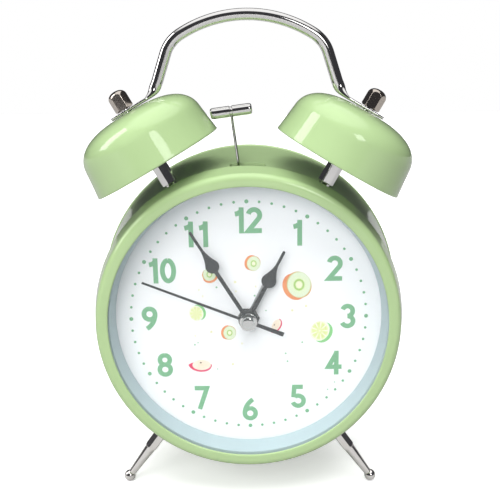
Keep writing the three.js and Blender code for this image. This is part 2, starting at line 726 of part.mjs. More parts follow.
function handCap() {
  const dome = turned(
    [[0, 5.1], [3, 5.1], [3, 5.5], [2.5, 5.95], [1.3, 6.2], [0, 6.25]],
    20,
  );
  return dome.rotateX(Math.PI / 2);
}
addPiece(dialFrame, "hand_cap", handCap(), "chrome");
const nutOnDial = plate(circle(4, 6), 0.3, 1, [circle(BUSH_RADIUS + GAP, 16).reverse()]);
addPiece(dialFrame, "dial_nut", nutOnDial, "chrome");

// ---------------------------------------------------------------- wheels

// A toothed wheel with straight-flanked teeth, one of them pointing along X.
function gearOutline(teeth, module, turn = 0) {
  const pitch = (teeth * module) / 2;
  const step = (2 * Math.PI) / teeth;
  const root = pitch - 1.25 * module;
  const tip = pitch + 0.8 * module;
  const corners = [[root, -0.29], [tip, -0.1], [tip, 0.1], [root, 0.29]];
  const outline = [];
  for (let tooth = 0; tooth < teeth; tooth += 1) {
    for (const [radius, part] of corners) {
      const angle = turn + step * (tooth + part);
      outline.push([radius * Math.cos(angle), radius * Math.sin(angle)]);
    }
  }
  return outline;
}

// A wheel on a sleeve, in the dial frame: depths are negative behind the dial.
function wheelOnPipe(outline, pipe, rear, front) {
  const bore = circle(pipe.inner, 16).reverse();
  const wheel = plate(outline, rear, front, [bore]);
  const sleeve = plate(circle(pipe.outer, 16), rear + 0.2, pipe.front, [bore]);
  return joined(wheel, sleeve);
}

const halfTooth = (teeth) => Math.PI / teeth;
const ALARM_PLANE = [-4.5, -3.5];
const HOUR_PLANE = [-6.5, -5.5];
const MINUTE_PLANE = [-9, -8];
const SECOND_PLANE = [-14.5, -13.5];

const alarmWheelOutline = gearOutline(36, MOTION_MODULE, halfTooth(36));
const hourWheelOutline = gearOutline(40, HOUR_MODULE, halfTooth(40));
const cannonOutline = gearOutline(12, MOTION_MODULE, halfTooth(12));
addPiece(dialFrame, "alarm_wheel", wheelOnPipe(alarmWheelOutline, ALARM_PIPE, ...ALARM_PLANE), "brass");
addPiece(dialFrame, "hour_wheel", wheelOnPipe(hourWheelOutline, HOUR_PIPE, ...HOUR_PLANE), "gear");
addPiece(dialFrame, "minute_pinion", wheelOnPipe(cannonOutline, MINUTE_PIPE, ...MINUTE_PLANE), "steel");

function secondArbor() {
  const wheel = plate(circle(9, 30), ...SECOND_PLANE);
  const arbor = bar(SECOND_ARBOR_RADIUS, SECOND_PLANE[0] - 1.5, 4.95, 10).rotateX(Math.PI / 2);
  return joined(wheel, arbor);
}
addPiece(dialFrame, "second_wheel", secondArbor(), "gear");

// The setting arbors run from the motion work to the knobs, in the dial frame.
const ARBOR_REAR = DIAL_Y - (BACK_Y - 2.5);

function timeSetArbor() {
  const wheel = plate(gearOutline(36, MOTION_MODULE), ...MINUTE_PLANE);
  const pinion = plate(gearOutline(10, HOUR_MODULE), MINUTE_PLANE[1] - 0.2, HOUR_PLANE[1] + 0.1);
  const arbor = bar(ARBOR_RADIUS, ARBOR_REAR, HOUR_PLANE[1] + 1.4, 12).rotateX(Math.PI / 2);
  return joined(wheel, pinion, arbor);
}

function alarmSetArbor() {
  const pinion = plate(gearOutline(12, MOTION_MODULE), ALARM_PLANE[0] - 0.3, ALARM_PLANE[1] + 0.3);
  const arbor = bar(ARBOR_RADIUS, ARBOR_REAR, ALARM_PLANE[1] + 0.3, 12).rotateX(Math.PI / 2);
  return joined(pinion, arbor);
}

addPiece(dialFrame, "time_set_arbor", timeSetArbor(), "gear").position.x = -ARBOR_OFFSET;
addPiece(dialFrame, "alarm_set_arbor", alarmSetArbor(), "gear").position.x = ARBOR_OFFSET;

// ---------------------------------------------------------------- movement

function movementShell(fromY, toY, openRear) {
  const { halfWidth, bottom, top } = MOVEMENT;
  const outer = block([-halfWidth, fromY, bottom], [halfWidth, toY, top]);
  const low = [-halfWidth + MOVEMENT_WALL, fromY, bottom + MOVEMENT_WALL];
  const high = [halfWidth - MOVEMENT_WALL, toY, top - MOVEMENT_WALL];
  if (openRear) low[1] = fromY + MOVEMENT_WALL - 0.2;
  else high[1] = toY - MOVEMENT_WALL;
  low[1] -= openRear ? 0 : 1;
  high[1] += openRear ? 1 : 0;
  return cutBy(solidOf(outer), block(low, high));
}

function movementFront() {
  const shell = movementShell(MOVEMENT.front, MOVEMENT.split, true);
  const bush = bar(BUSH_RADIUS, DIAL_Y - 0.9, MOVEMENT.front + 0.5, 20);
  const bore = bar(ALARM_PIPE.outer + 0.2, DIAL_Y - 2, MOVEMENT.front + 3, 20);
  return cutBy(shell.add(solidOf(bush)), bore);
}

function movementRear() {
  const shell = movementShell(MOVEMENT.split + GAP, MOVEMENT.rear, false);
  const hole = (x) => bar(ARBOR_RADIUS + GAP, 0, MOVEMENT.rear + 2, 12).translate(x, 0, 0);
  return cutBy(shell, hole(-ARBOR_OFFSET), hole(ARBOR_OFFSET));
}

addPiece(drumFrame, "movement_front", movementFront(), "movement");
addPiece(drumFrame, "movement_rear", movementRear(), "movement");
addPiece(drumFrame, "circuit_board", block([17, -4, -16], [27, -3, -3]), "board");
const stepperCoil = turnedRing(
  [[0.8, -8], [2.9, -8], [2.9, -7.2], [2.5, -7.2], [2.5, 7.2], [2.9, 7.2], [2.9, 8], [0.8, 8]],
  16,
);
addPiece(drumFrame, "stepper_coil", stepperCoil.rotateZ(-Math.PI / 2).translate(2, -3.6, -14.1), "copper");

// ---------------------------------------------------------------- back cover and battery

function backCover() {
  const inside = COVER_BACK_Y - COVER_THICKNESS;
  const shell = turned(
    [
      [0, inside],
      [49.2, inside],
      [51.4, 18],
      [COVER_RADIUS, 18],
      [COVER_RADIUS, 20.4],
      [50.4, COVER_BACK_Y],
      [0, COVER_BACK_Y],
    ],
    DRUM_SEGMENTS,
  );
  const { halfWidth, halfHeight, z, front, wall } = BAY;
  const tray = block(
    [-halfWidth - wall, front - wall, z - halfHeight - wall],
    [halfWidth + wall, inside + 0.5, z + halfHeight + wall],
  );
  const hollow = block([-halfWidth, front, z - halfHeight], [halfWidth, COVER_BACK_Y + 1, z + halfHeight]);
  const arborHole = (x) => bar(ARBOR_RADIUS + 0.6, inside - 2, COVER_BACK_Y + 2, 12).translate(x, 0, 0);
  const slotHalf = (SWITCH_TRAVEL + 3.4) / 2 + 0.4;
  const switchSlot = block(
    [-slotHalf, inside - 2, SWITCH_Z - 2.1],
    [slotHalf, COVER_BACK_Y + 2, SWITCH_Z + 2.1],
  );
  const screwHoles = SCREW_ANGLES.map((degrees) => screwPlace(bar(1.6, 15, 25, 12), degrees));
  const footHole = bar(1.6, 15, 25, 12).translate(0, 0, FOOT_SCREW_Z);
  const holes = [arborHole(-ARBOR_OFFSET), arborHole(ARBOR_OFFSET), switchSlot, footHole, ...screwHoles];
  return cutBy(joined(shell, tray), hollow, ...holes);
}

const FOOT_SCREW_Z = -44;
addPiece(drumFrame, "back_cover", backCover(), "cover");

function batteryDoor() {
  const { halfWidth, halfHeight, z } = BAY;
  const lid = block(
    [-halfWidth + GAP, COVER_BACK_Y - 1.6, z - halfHeight + GAP],
    [halfWidth - GAP, COVER_BACK_Y, z + halfHeight - GAP],
  );
  const grip = (above) => {
    const low = [-6, COVER_BACK_Y - 0.5, z + above];
    return block(low, [6, COVER_BACK_Y + 0.7, z + above + 0.8]);
  };
  return joined(lid, grip(2), grip(3.8), grip(5.6));
}
addPiece(drumFrame, "battery_door", batteryDoor(), "cover");

const CELL_HALF = 24.6;
const cell = turned(
  [
    [0, -CELL_HALF],
    [CELL_RADIUS - 0.5, -CELL_HALF],
    [CELL_RADIUS, -CELL_HALF + 0.5],
    [CELL_RADIUS, CELL_HALF - 0.7],
    [CELL_RADIUS - 0.7, CELL_HALF],
    [2.7, CELL_HALF],
    [2.7, CELL_HALF + 1.2],
    [0, CELL_HALF + 1.2],
  ],
  28,
).rotateZ(-Math.PI / 2);
addPiece(drumFrame, "battery_cell", cell.translate(0, CELL_Y, BAY.z), "cell");
const contact = block(
  [BAY.halfWidth - 0.9, CELL_Y - 4, BAY.z - 5],
  [BAY.halfWidth - 0.4, CELL_Y + 4, BAY.z + 5],
);
addPiece(drumFrame, "battery_contact", contact, "nickel");

// The negative contact: a short conical spring of round wire.
function batterySpring() {
  class Coil extends THREE.Curve {
    getPoint(t, target = new THREE.Vector3()) {
      const angle = 2 * Math.PI * 2.2 * t;
      const radius = 4.6 - 1.8 * t;
      return target.set(2 * t, radius * Math.cos(angle), radius * Math.sin(angle));
    }
  }
  const section = new THREE.Shape(circle(0.3, 6).map(([x, y]) => new THREE.Vector2(x, y)));
  const settings = { steps: 30, extrudePath: new Coil() };
  return new THREE.ExtrudeGeometry(section, settings);
}
const springX = -BAY.halfWidth + 0.4;
addPiece(drumFrame, "battery_spring", batterySpring().translate(springX, CELL_Y, BAY.z), "steel");

// ---------------------------------------------------------------- knobs, switch, screws and foot

function knob() {
  const ribs = 18;
  const outline = [];
  for (let rib = 0; rib < ribs; rib += 1) {
    for (const [part, radius] of [[0, KNOB_RADIUS - 0.5], [0.3, KNOB_RADIUS], [0.7, KNOB_RADIUS]]) {
      const angle = (2 * Math.PI * (rib + part)) / ribs;
      outline.push([radius * Math.cos(angle), radius * Math.sin(angle)]);
    }
  }
  const grip = plate(outline, -BACK_Y, -KNOB_FRONT_Y - 1.5).rotateX(Math.PI / 2);
  const collar = bar(4, KNOB_FRONT_Y, KNOB_FRONT_Y + 2, 16);
  return cutBy(joined(grip, collar), bar(ARBOR_RADIUS + GAP, KNOB_FRONT_Y - 1, BACK_Y - 2, 12));
}
addPiece(drumFrame, "time_set_knob", knob(), "knob").position.x = -ARBOR_OFFSET;
addPiece(drumFrame, "alarm_set_knob", knob(), "knob").position.x = ARBOR_OFFSET;

function switchSlider() {
  const x = -SWITCH_TRAVEL / 2;
  const stem = block([x - 1.7, 17.5, SWITCH_Z - 1.7], [x + 1.7, COVER_BACK_Y + 1, SWITCH_Z + 1.7]);
  const pad = block(
    [x - 2.8, COVER_BACK_Y + GAP, SWITCH_Z - 3.2],
    [x + 2.8, COVER_BACK_Y + 3.4, SWITCH_Z + 3.2],
  );
  return joined(stem, pad);
}
addPiece(drumFrame, "alarm_switch", switchSlider(), "knob");
addPiece(drumFrame, "switch_body", block([-8, 12, SWITCH_Z - 4], [8, 17.2, SWITCH_Z + 4]), "movement");

function screw(headRadius, shankEnd, headFront) {
  const head = headFront + 1.8;
  const body = turned(
    [
      [0, shankEnd],
      [1.2, shankEnd],
      [1.2, headFront],
      [headRadius, headFront],
      [headRadius, headFront + 1.1],
      [headRadius - 0.8, head],
      [0, head],
    ],
    12,
  );
  return cutBy(solidOf(body), block([-2, head - 0.8, -0.35], [2, head + 1, 0.35]));
}
SCREW_ANGLES.forEach((degrees, index) => {
  const body = screwPlace(geometryOf(screw(2.7, 13.5, COVER_BACK_Y + GAP)), degrees);
  addPiece(drumFrame, `cover_screw_${index + 1}`, body, "nickel");
});

// The rear foot is screwed to the cover and reaches down to the table behind the drum.
const FOOT_BACK_Y = 26.6;
const FOOT_FRONT_Y = 13;
const PAD_HEIGHT = 1.5;

function rearFoot() {
  const top = FOOT_SCREW_Z + 5;
  const low = PAD_HEIGHT + GAP - AXIS_HEIGHT;
  const rib = plate([[-9, top], [-14, low], [14, low], [9, top]], -FOOT_BACK_Y, -COVER_BACK_Y - GAP);
  const toe = block([-14, FOOT_FRONT_Y, low], [14, COVER_BACK_Y + 2, -57.4]);
  const hole = bar(1.6, 20, 30, 12).translate(0, 0, FOOT_SCREW_Z);
  return cutBy(joined(rib.rotateX(Math.PI / 2), toe), hole);
}
addPiece(drumFrame, "rear_foot", rearFoot(), "cover");
const footScrew = geometryOf(screw(2.7, 17, FOOT_BACK_Y + GAP)).translate(0, 0, FOOT_SCREW_Z);
addPiece(drumFrame, "foot_screw", footScrew, "nickel");
const pad = block(
  [-12.5, FOOT_FRONT_Y + 1.2, -AXIS_HEIGHT],
  [12.5, FOOT_BACK_Y - 1.2, PAD_HEIGHT - AXIS_HEIGHT],
);
addPiece(drumFrame, "foot_pad", pad, "rubber");

export default clock;
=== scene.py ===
import json
import math

import bpy
from bpy.props import FloatProperty, FloatVectorProperty, IntProperty, PointerProperty
from bpy.types import Operator, Panel, PropertyGroup
from mathutils import Matrix, Vector

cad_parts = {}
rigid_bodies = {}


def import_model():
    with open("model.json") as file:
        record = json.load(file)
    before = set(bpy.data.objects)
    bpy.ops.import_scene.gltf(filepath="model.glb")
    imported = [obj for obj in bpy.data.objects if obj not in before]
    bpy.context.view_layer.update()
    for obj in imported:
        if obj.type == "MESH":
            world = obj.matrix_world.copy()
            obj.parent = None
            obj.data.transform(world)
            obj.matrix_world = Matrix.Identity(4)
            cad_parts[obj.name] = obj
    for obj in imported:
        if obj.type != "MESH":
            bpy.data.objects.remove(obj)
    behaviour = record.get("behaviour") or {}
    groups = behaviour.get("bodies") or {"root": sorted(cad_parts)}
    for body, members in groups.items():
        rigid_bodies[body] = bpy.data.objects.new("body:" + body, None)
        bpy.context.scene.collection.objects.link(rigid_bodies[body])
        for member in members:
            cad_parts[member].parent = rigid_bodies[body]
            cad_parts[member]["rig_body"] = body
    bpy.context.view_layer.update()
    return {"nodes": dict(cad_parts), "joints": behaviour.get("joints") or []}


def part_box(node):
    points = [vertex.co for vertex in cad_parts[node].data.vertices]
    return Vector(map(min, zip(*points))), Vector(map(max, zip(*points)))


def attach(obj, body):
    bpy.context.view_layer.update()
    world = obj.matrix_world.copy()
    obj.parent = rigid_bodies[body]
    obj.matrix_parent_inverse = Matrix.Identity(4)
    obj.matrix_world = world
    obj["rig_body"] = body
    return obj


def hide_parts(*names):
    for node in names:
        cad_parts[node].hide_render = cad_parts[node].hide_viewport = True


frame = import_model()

bl_info = {
    "name": "Twin-bell alarm clock",
    "version": (1, 0, 0),
    "blender": (4, 5, 0),
    "location": "View3D > Sidebar > Clock",
    "description": "Builds the visible pieces of a twin-bell alarm clock around its frame",
    "category": "Add Mesh",
}

MM = 0.001

# In millimetres.
GAP = 0.3  # between pieces that are fastened together
STUD_RADIUS = 1.7  # threaded ends of the posts and legs
STUD_HOLE = 2.0  # holes that they pass through
SCREW_HOLE = 1.6
SCREW_HEAD = 2.7
DOOR_RIB = 0.7  # how far the ribs on the battery door stand out
CELL_HALF = 24.6
CELL_BUTTON = 1.2


# ---------------------------------------------------------------- places, from the frame


def middle(node):
    low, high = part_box(node)
    return (low + high) / 2


AXIS_HEIGHT = middle("glass_lens").z
DIAL_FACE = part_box("dial_card")[0].y
BELL_PLANE = middle("bell_post_left").y
LEG_PLANE = middle("leg_left").y
COVER_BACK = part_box("battery_door")[1].y - DOOR_RIB * MM
AT_AXIS = Matrix.Translation((0, 0, AXIS_HEIGHT))
# Turned pieces run along their own Z: here it lies along the drum's axis, towards the back.
ALONG_DRUM = AT_AXIS @ Matrix.Rotation(-math.pi / 2, 4, "X")
# The dial's frame: X right, Y up, Z towards the viewer, zero on the printed face.
ON_DIAL = Matrix.Translation((0, DIAL_FACE, AXIS_HEIGHT)) @ Matrix.Rotation(math.pi / 2, 4, "X")
# The card sits in the case turned a little anticlockwise.
ON_CARD = ON_DIAL @ Matrix.Rotation(math.radians(0.6), 4, "Z")
# The cover's back face: X right and Y up as seen from the front, Z towards the dial.
ON_BACK = AT_AXIS @ Matrix.Translation((0, COVER_BACK, 0)) @ Matrix.Rotation(math.pi / 2, 4, "X")
SIDES = (("left", -1), ("right", 1))


def radial(angle, plane):
    """A frame whose Z points outwards from the drum's axis, turned clockwise from the top."""
    return Matrix.Translation((0, plane, AXIS_HEIGHT)) @ Matrix.Rotation(angle, 4, "Y")


def joint_place(name):
    return Vector(next(joint for joint in frame["joints"] if joint["name"] == name)["pos_m"])


# ---------------------------------------------------------------- sizes and colours to change


def length(name, description, millimetres):
    return FloatProperty(name=name, description=description, default=millimetres * MM, unit="LENGTH")


def angle(name, description, degrees):
    return FloatProperty(name=name, description=description, default=math.radians(degrees), subtype="ANGLE")


def colour(name, description, default):
    return FloatVectorProperty(
        name=name, description=description, subtype="COLOR", size=3, min=0, max=1, default=default
    )


class ClockSizes(PropertyGroup):
    """Sizes of the pieces that a user would change"""

    segments: IntProperty(
        name="Segments", description="Sides of the large turned pieces", default=160, min=24
    )
    wall: length("Sheet thickness", "Thickness of the drum's sheet", 0.8)
    drum_front: length("Drum front radius", "Outer radius of the drum's front end", 49.9)
    drum_rear: length("Drum rear radius", "Outer radius of the drum's rear end", 55)
    bezel_inner: length("Bezel opening radius", "Inner radius of the bezel", 46.2)
    bell_radius: length("Bell radius", "Outer radius of a bell's rim", 23)
    bell_lean: angle("Bell lean", "How far each bell leans out from the top", 30)
    leg_spread: angle("Leg spread", "How far each leg leans out from straight down", 35.3)
    post_across: length("Post across flats", "Size of the hexagonal bell posts", 4.85)
    leg_across: length("Leg across flats", "Size of the hexagonal part of a leg", 4.1)
    nut_across: length("Cap nut across flats", "Size of the cap nuts", 5.7)
    rod_radius: length("Handle rod radius", "Radius of the handle's round rod", 1.9)
    numeral_height: length("Numeral height", "Height of the hour numerals", 8.7)
    numeral_stroke: length("Numeral stroke", "Line width of the hour numerals", 1.6)
    numeral_circle: length("Numeral circle", "Radius of the circle that the numerals stand on", 33.7)
    dot_circle: length("Minute circle", "Radius of the circle of minute dots", 40)
    hour_dot: length("Hour dot", "Radius of the dots at the hours", 0.68)
    minute_dot: length("Minute dot", "Radius of the other dots", 0.46)
    print_height: length("Ink height", "How far the print stands above the card", 0.05)
    cover_radius: length("Back cover radius", "Radius of the moulded back cover", 53.3)
    knob_radius: length("Knob radius", "Radius of the setting knobs", 8)


class ClockColours(PropertyGroup):
    """Colours of the finishes"""

    paint: colour("Paint", "Enamel on the drum, bezel and bells", (0.385, 0.53, 0.262))
    chrome: colour("Chrome", "Plated handle, posts and hammer", (0.72, 0.71, 0.70))
    nickel: colour("Nickel", "Plated cap nuts and screws", (0.60, 0.54, 0.48))
    # Lighter than the nickel of the nuts: a painted reflection of the pale floor in the legs' plating.
    legs: colour("Legs", "Plated legs", (0.96, 0.92, 0.90))
    steel: colour("Steel", "Bare steel pieces inside", (0.42, 0.43, 0.44))
    ring: colour("Dial surround", "Moulded ring round the dial", (0.40, 0.51, 0.54))
    card: colour("Dial card", "Printed card's ground", (0.96, 0.975, 1.0))
    ink: colour("Numeral ink", "Ink of the numerals and dots", (0.18, 0.46, 0.24))
    hands: colour("Hands", "Lacquer on the hands", (0.012, 0.011, 0.013))
    cover: colour("Back cover", "Moulded cover, door and foot", (0.33, 0.50, 0.22))
    knobs: colour("Knobs", "Moulded knobs and switch", (0.018, 0.019, 0.022))
    rubber: colour("Rubber", "Pad under the rear foot", (0.012, 0.012, 0.012))


class ClockStage(PropertyGroup):
    """Camera, floor and lights"""

    yaw: angle("Camera yaw", "Turn of the camera round the clock", 0.54)
    pitch: angle("Camera pitch", "How far the camera looks down", 13.28)
    roll: angle("Camera roll", "Tilt of the camera about its own line of sight", -0.4)
    distance: length("Camera distance", "From the dial's middle to the camera", 255.6)
    right: length("Camera offset across", "Place of the dial's middle across the view", -0.52)
    up: length("Camera offset up", "Place of the dial's middle up the view", -22.96)
    lens: FloatProperty(name="Focal length", description="In millimetres on a 36 mm sensor", default=54)
    front: FloatProperty(
        name="Front light", description="Power of the broad front light in watts", default=8
    )
    sky: FloatProperty(name="Top light", description="Strength of the soft light from above", default=2.5)
    gloss: FloatProperty(
        name="Softboxes", description="Radiance of the softboxes seen in the gloss", default=5.5
    )
    ambient: FloatProperty(name="Ambient", description="Strength of the light from all round", default=1.0)


def sizes():
    return bpy.context.scene.clock_sizes


def colours():
    return bpy.context.scene.clock_colours


# ---------------------------------------------------------------- shapes


def arc(centre, radius, start, end, steps):
    """Points on a circle from one angle to another, in degrees."""
    turns = [math.radians(start + (end - start) * step / steps) for step in range(steps + 1)]
    return [(centre[0] + radius * math.cos(turn), centre[1] + radius * math.sin(turn)) for turn in turns]


def ellipse(centre, across, up, steps=32, tilt=0.0):
    """Points of an ellipse, tilted anticlockwise by an angle in degrees."""
    cosine, sine = math.cos(math.radians(tilt)), math.sin(math.radians(tilt))
    points = []
    for x, y in arc((0, 0), 1, 0, 360, steps)[:-1]:
        u, v = across * x, up * y
        points.append((centre[0] + u * cosine - v * sine, centre[1] + u * sine + v * cosine))
    return points


def rectangle(half_wide, half_high):
    return [
        (-half_wide, -half_high), (half_wide, -half_high), (half_wide, half_high), (-half_wide, half_high)
    ]


def cubic(start, first, second, end, steps):
    """Points on a curve between two ends, drawn towards two points."""
    points = []
    for step in range(steps + 1):
        t = step / steps
        weights = ((1 - t) ** 3, 3 * t * (1 - t) ** 2, 3 * t * t * (1 - t), t**3)
        corners = (start, first, second, end)
        points.append(tuple(sum(w * c[axis] for w, c in zip(weights, corners)) for axis in (0, 1)))
    return points


def soften(points, size, steps=3, closed=True, sharpest=20):
    """Rounds each corner of an outline that turns by more than sharpest degrees."""
    made = []
    count = len(points)
    for index, point in enumerate(points):
        here = Vector(point)
        if not closed and index in (0, count - 1):
            made.append(tuple(here))
            continue
        back = Vector(points[index - 1]) - here
        ahead = Vector(points[(index + 1) % count]) - here
        repeated = min(back.length, ahead.length) < 1e-9
        if repeated or math.degrees(math.pi - back.angle(ahead)) < sharpest:
            made.append(tuple(here))
            continue
        reach = min(size, 0.45 * back.length, 0.45 * ahead.length)
        start, end = here + back.normalized() * reach, here + ahead.normalized() * reach
        for step in range(steps + 1):
            t = step / steps
            made.append(tuple(start * (1 - t) ** 2 + here * (2 * t * (1 - t)) + end * t * t))
    return made


def mirrored(right):
    """A closed outline from its right side, listed upwards."""
    return right + [(-x, y) for x, y in reversed(right) if abs(x) > 1e-9]


def scaled(points, factor=MM):
    return [tuple(factor * value for value in point) for point in points]


def lathe(profile, segments, closed=True):
    """Vertices and faces of a profile of (radius, height) turned about Z, listed up its outside."""
    vertices, rings = [], []
    for radius, height in profile:
        sides = 1 if radius < 1e-7 else segments
        rings.append([len(vertices) + side for side in range(sides)])
        for side in range(sides):
            turn = 2 * math.pi * side / segments
            vertices.append((radius * math.cos(turn), radius * math.sin(turn), height))
    if closed:
        rings.append(rings[0])
    faces = []
    for low, high in zip(rings, rings[1:]):
        if len(low) == len(high) == 1:
            continue
        for side in range(segments):
            after = (side + 1) % segments
            corners = [
                low[side % len(low)], low[after % len(low)], high[after % len(high)], high[side % len(high)]
            ]
            faces.append(list(dict.fromkeys(corners)))
    return vertices, faces


def sweep(route, sections):
    """Vertices and faces of rings of points carried along a route of frames, closed at both ends."""
    vertices, faces = [], []
    sides = len(sections[0])
    for place, section in zip(route, sections):
        vertices += [place @ Vector(point) for point in section]
    for ring in range(len(route) - 1):
        for side in range(sides):
            after = (side + 1) % sides
            first = ring * sides
            faces.append((first + side, first + after, first + sides + after, first + sides + side))
    faces.append(tuple(range(sides - 1, -1, -1)))
    faces.append(tuple(range(len(vertices) - sides, len(vertices))))
    return vertices, faces


def tube(points, radius, sides=12):
    """A round wire along points in space."""
    frames, aside = [], None
    for index, point in enumerate(points):
        along = Vector(points[min(index + 1, len(points) - 1)]) - Vector(points[max(index - 1, 0)])
        along.normalize()
        aside = aside or along.orthogonal()
        aside = (aside - aside.dot(along) * along).normalized()
        across = along.cross(aside)
        frames.append(Matrix.Translation(point) @ Matrix((aside, across, along)).transposed().to_4x4())
    ring = [(x, y, 0) for x, y in arc((0, 0), radius, 0, 360, sides)[:-1]]
    return sweep(frames, [ring] * len(frames))


def box_mesh(low, high):
    """Vertices and faces of a box between two corners."""
    corners = [(x, y, z) for x in (low[0], high[0]) for y in (low[1], high[1]) for z in (low[2], high[2])]
    return corners, [(0, 1, 3, 2), (4, 6, 7, 5), (0, 4, 5, 1), (2, 3, 7, 6), (0, 2, 6, 4), (1, 5, 7, 3)]


def slab(outline, low, high, holes=(), edge=0.0, steps=2):
    """A flat plate of an outline in X and Y, from one height to another, with rounded rims."""
    curve = bpy.data.curves.new("slab", "CURVE")
    curve.dimensions = "2D"
    curve.fill_mode = "BOTH"
    curve.extrude = (high - low) / 2 - edge
    curve.bevel_depth = edge
    curve.bevel_resolution = steps
    curve.offset = -edge
    for points in (outline, *holes):
        spline = curve.splines.new("POLY")
        spline.points.add(len(points) - 1)
        for target, (x, y) in zip(spline.points, points):
            target.co = (x, y, 0, 1)
        spline.use_cyclic_u = True
    carrier = bpy.data.objects.new("slab", curve)
    bpy.context.scene.collection.objects.link(carrier)
    mesh = bpy.data.meshes.new_from_object(carrier.evaluated_get(bpy.context.evaluated_depsgraph_get()))
    mesh.transform(Matrix.Translation((0, 0, (low + high) / 2)))
    bpy.data.objects.remove(carrier)
    bpy.data.curves.remove(curve)
    return mesh


def hexagon(across, turn=0.0):
    """Corners of a hexagon; with no turn two of them lie on X."""
    return [(x, y) for x, y in arc((0, 0), across / math.sqrt(3), turn, turn + 360, 6)[:-1]]


# ---------------------------------------------------------------- pieces


def solid(name, shape, place=None):
    """An object from a mesh, or from vertices and faces, moved to its place."""
    mesh = shape
    if not isinstance(shape, bpy.types.Mesh):
        mesh = bpy.data.meshes.new(name)
        mesh.from_pydata(shape[0], [], shape[1])
    mesh.name = name
    if place:
        mesh.transform(place)
    piece = bpy.data.objects.new(name, mesh)
    bpy.context.scene.collection.objects.link(piece)
    return piece


def settle(piece):
    """Applies the modifiers."""
    evaluated = piece.evaluated_get(bpy.context.evaluated_depsgraph_get())
    mesh = bpy.data.meshes.new_from_object(evaluated)
    piece.modifiers.clear()
    piece.data = mesh
    mesh.name = piece.name
    return piece


def combined(piece, operation, *tools):
    """Cuts, joins or intersects a piece with other solids, which are used up."""
    for tool in tools:
        boolean = piece.modifiers.new("tool", "BOOLEAN")
        boolean.operation = operation
        boolean.solver = "EXACT"
        boolean.object = tool
        settle(piece)
        bpy.data.objects.remove(tool)
    return piece


def rounded(piece, width, segments=2, limit=35):
    """Rounds the sharp edges of a piece."""
    bevel = piece.modifiers.new("rounding", "BEVEL")
    bevel.width = width
    bevel.segments = segments
    bevel.limit_method = "ANGLE"
    bevel.angle_limit = math.radians(limit)
    bevel.use_clamp_overlap = True
    return settle(piece)


def gathered(name, parts):
    """One object from several that are one piece."""
    vertices, faces = [], []
    for part in parts:
        first = len(vertices)
        vertices += [vertex.co.copy() for vertex in part.data.vertices]
        faces += [[first + index for index in face.vertices] for face in part.data.polygons]
        bpy.data.objects.remove(part)
    return solid(name, (vertices, faces))


def dress(piece, material, body, slot, *nodes, smooth=35):
    """Gives a piece its finish and shading and its body, and hides the CAD nodes that it stands for."""
    piece.data.materials.clear()
    piece.data.materials.append(material)
    piece.data.shade_smooth()
    piece.data.set_sharp_from_angle(angle=math.radians(smooth))
    weighted = piece.modifiers.new("even shading", "WEIGHTED_NORMAL")
    weighted.keep_sharp = True
    weighted.weight = 60
    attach(piece, body)
    if nodes:
        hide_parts(*nodes)
    return piece


def body_of(node):
    return frame["nodes"][node]["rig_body"]


# ---------------------------------------------------------------- finishes


class Shader:
    """A node material with one Principled shader, built up step by step."""

    def __init__(self, name, roughness=0.5, metallic=0.0, **constants):
        self.material = bpy.data.materials.new(name)
        self.material.use_nodes = True
        self.tree = self.material.node_tree
        self.shader = self.tree.nodes["Principled BSDF"]
        self.shader.inputs["Roughness"].default_value = roughness
        self.shader.inputs["Metallic"].default_value = metallic
        for socket, value in constants.items():
            self.shader.inputs[socket.replace("_", " ")].default_value = value
        self.place = self.node("ShaderNodeTexCoord").outputs["Object"]

    def node(self, kind, settings=None, **inputs):
        made = self.tree.nodes.new(kind)
        for key, value in (settings or {}).items():
            setattr(made, key, value)
        for socket, value in inputs.items():
            self.feed(made.inputs[socket.replace("_", " ")], value)
        return made

    def feed(self, socket, value):
        if isinstance(value, bpy.types.NodeSocket):
            self.tree.links.new(value, socket)
        else:
            socket.default_value = value

    def math(self, operation, first, second=0.0, third=0.0):
        made = self.node("ShaderNodeMath", {"operation": operation})
        for socket, value in zip(made.inputs, (first, second, third)):
            self.feed(socket, value)
        return made.outputs[0]

    def noise(self, scale, detail=2.0, stretch=None, roughness=0.5):
        place = self.place
        if stretch:
            place = self.node("ShaderNodeMapping", Vector=place, Scale=stretch).outputs[0]
        return self.node(
            "ShaderNodeTexNoise", Vector=place, Scale=scale, Detail=detail, Roughness=roughness
        ).outputs["Fac"]

    def blend(self, amount, first, second):
        """A colour between two, each an RGB triple or a socket."""
        mix = self.node("ShaderNodeMix", {"data_type": "RGBA"})
        self.feed(mix.inputs[0], amount)
        for socket, value in ((mix.inputs[6], first), (mix.inputs[7], second)):
            self.feed(socket, value if isinstance(value, bpy.types.NodeSocket) else (*value, 1.0))
        return mix.outputs[2]

    def ramp(self, value, *stops, constant=False):
        """A colour ramp of (place, colour) stops."""
        made = self.node("ShaderNodeValToRGB", Fac=value)
        made.color_ramp.interpolation = "CONSTANT" if constant else "LINEAR"
        elements = made.color_ramp.elements
        while len(elements) < len(stops):
            elements.new(0.5)
        for element, (place, _) in zip(elements, stops):
            element.position = place
        for element, (_, tone) in zip(elements, stops):
            element.color = (*tone, 1.0)
        return made.outputs["Color"]

    def spread(self, value, low, high):
        """A value from 0 to 1 carried over to a range."""
        return self.node("ShaderNodeMapRange", Value=value, To_Min=low, To_Max=high).outputs["Result"]

    def colour(self, value):
        self.feed(self.shader.inputs["Base Color"], value)
        return self

    def rough(self, low, high, scale, stretch=None):
        value = self.spread(self.noise(scale, stretch=stretch), low, high)
        self.feed(self.shader.inputs["Roughness"], value)
        return self

    def bump(self, height, depth, strength=1.0):
        made = self.node("ShaderNodeBump", Height=height, Distance=depth, Strength=strength)
        self.feed(self.shader.inputs["Normal"], made.outputs["Normal"])
        return self


def shade(tone, factor):
    return tuple(min(1.0, channel * factor) for channel in tone)


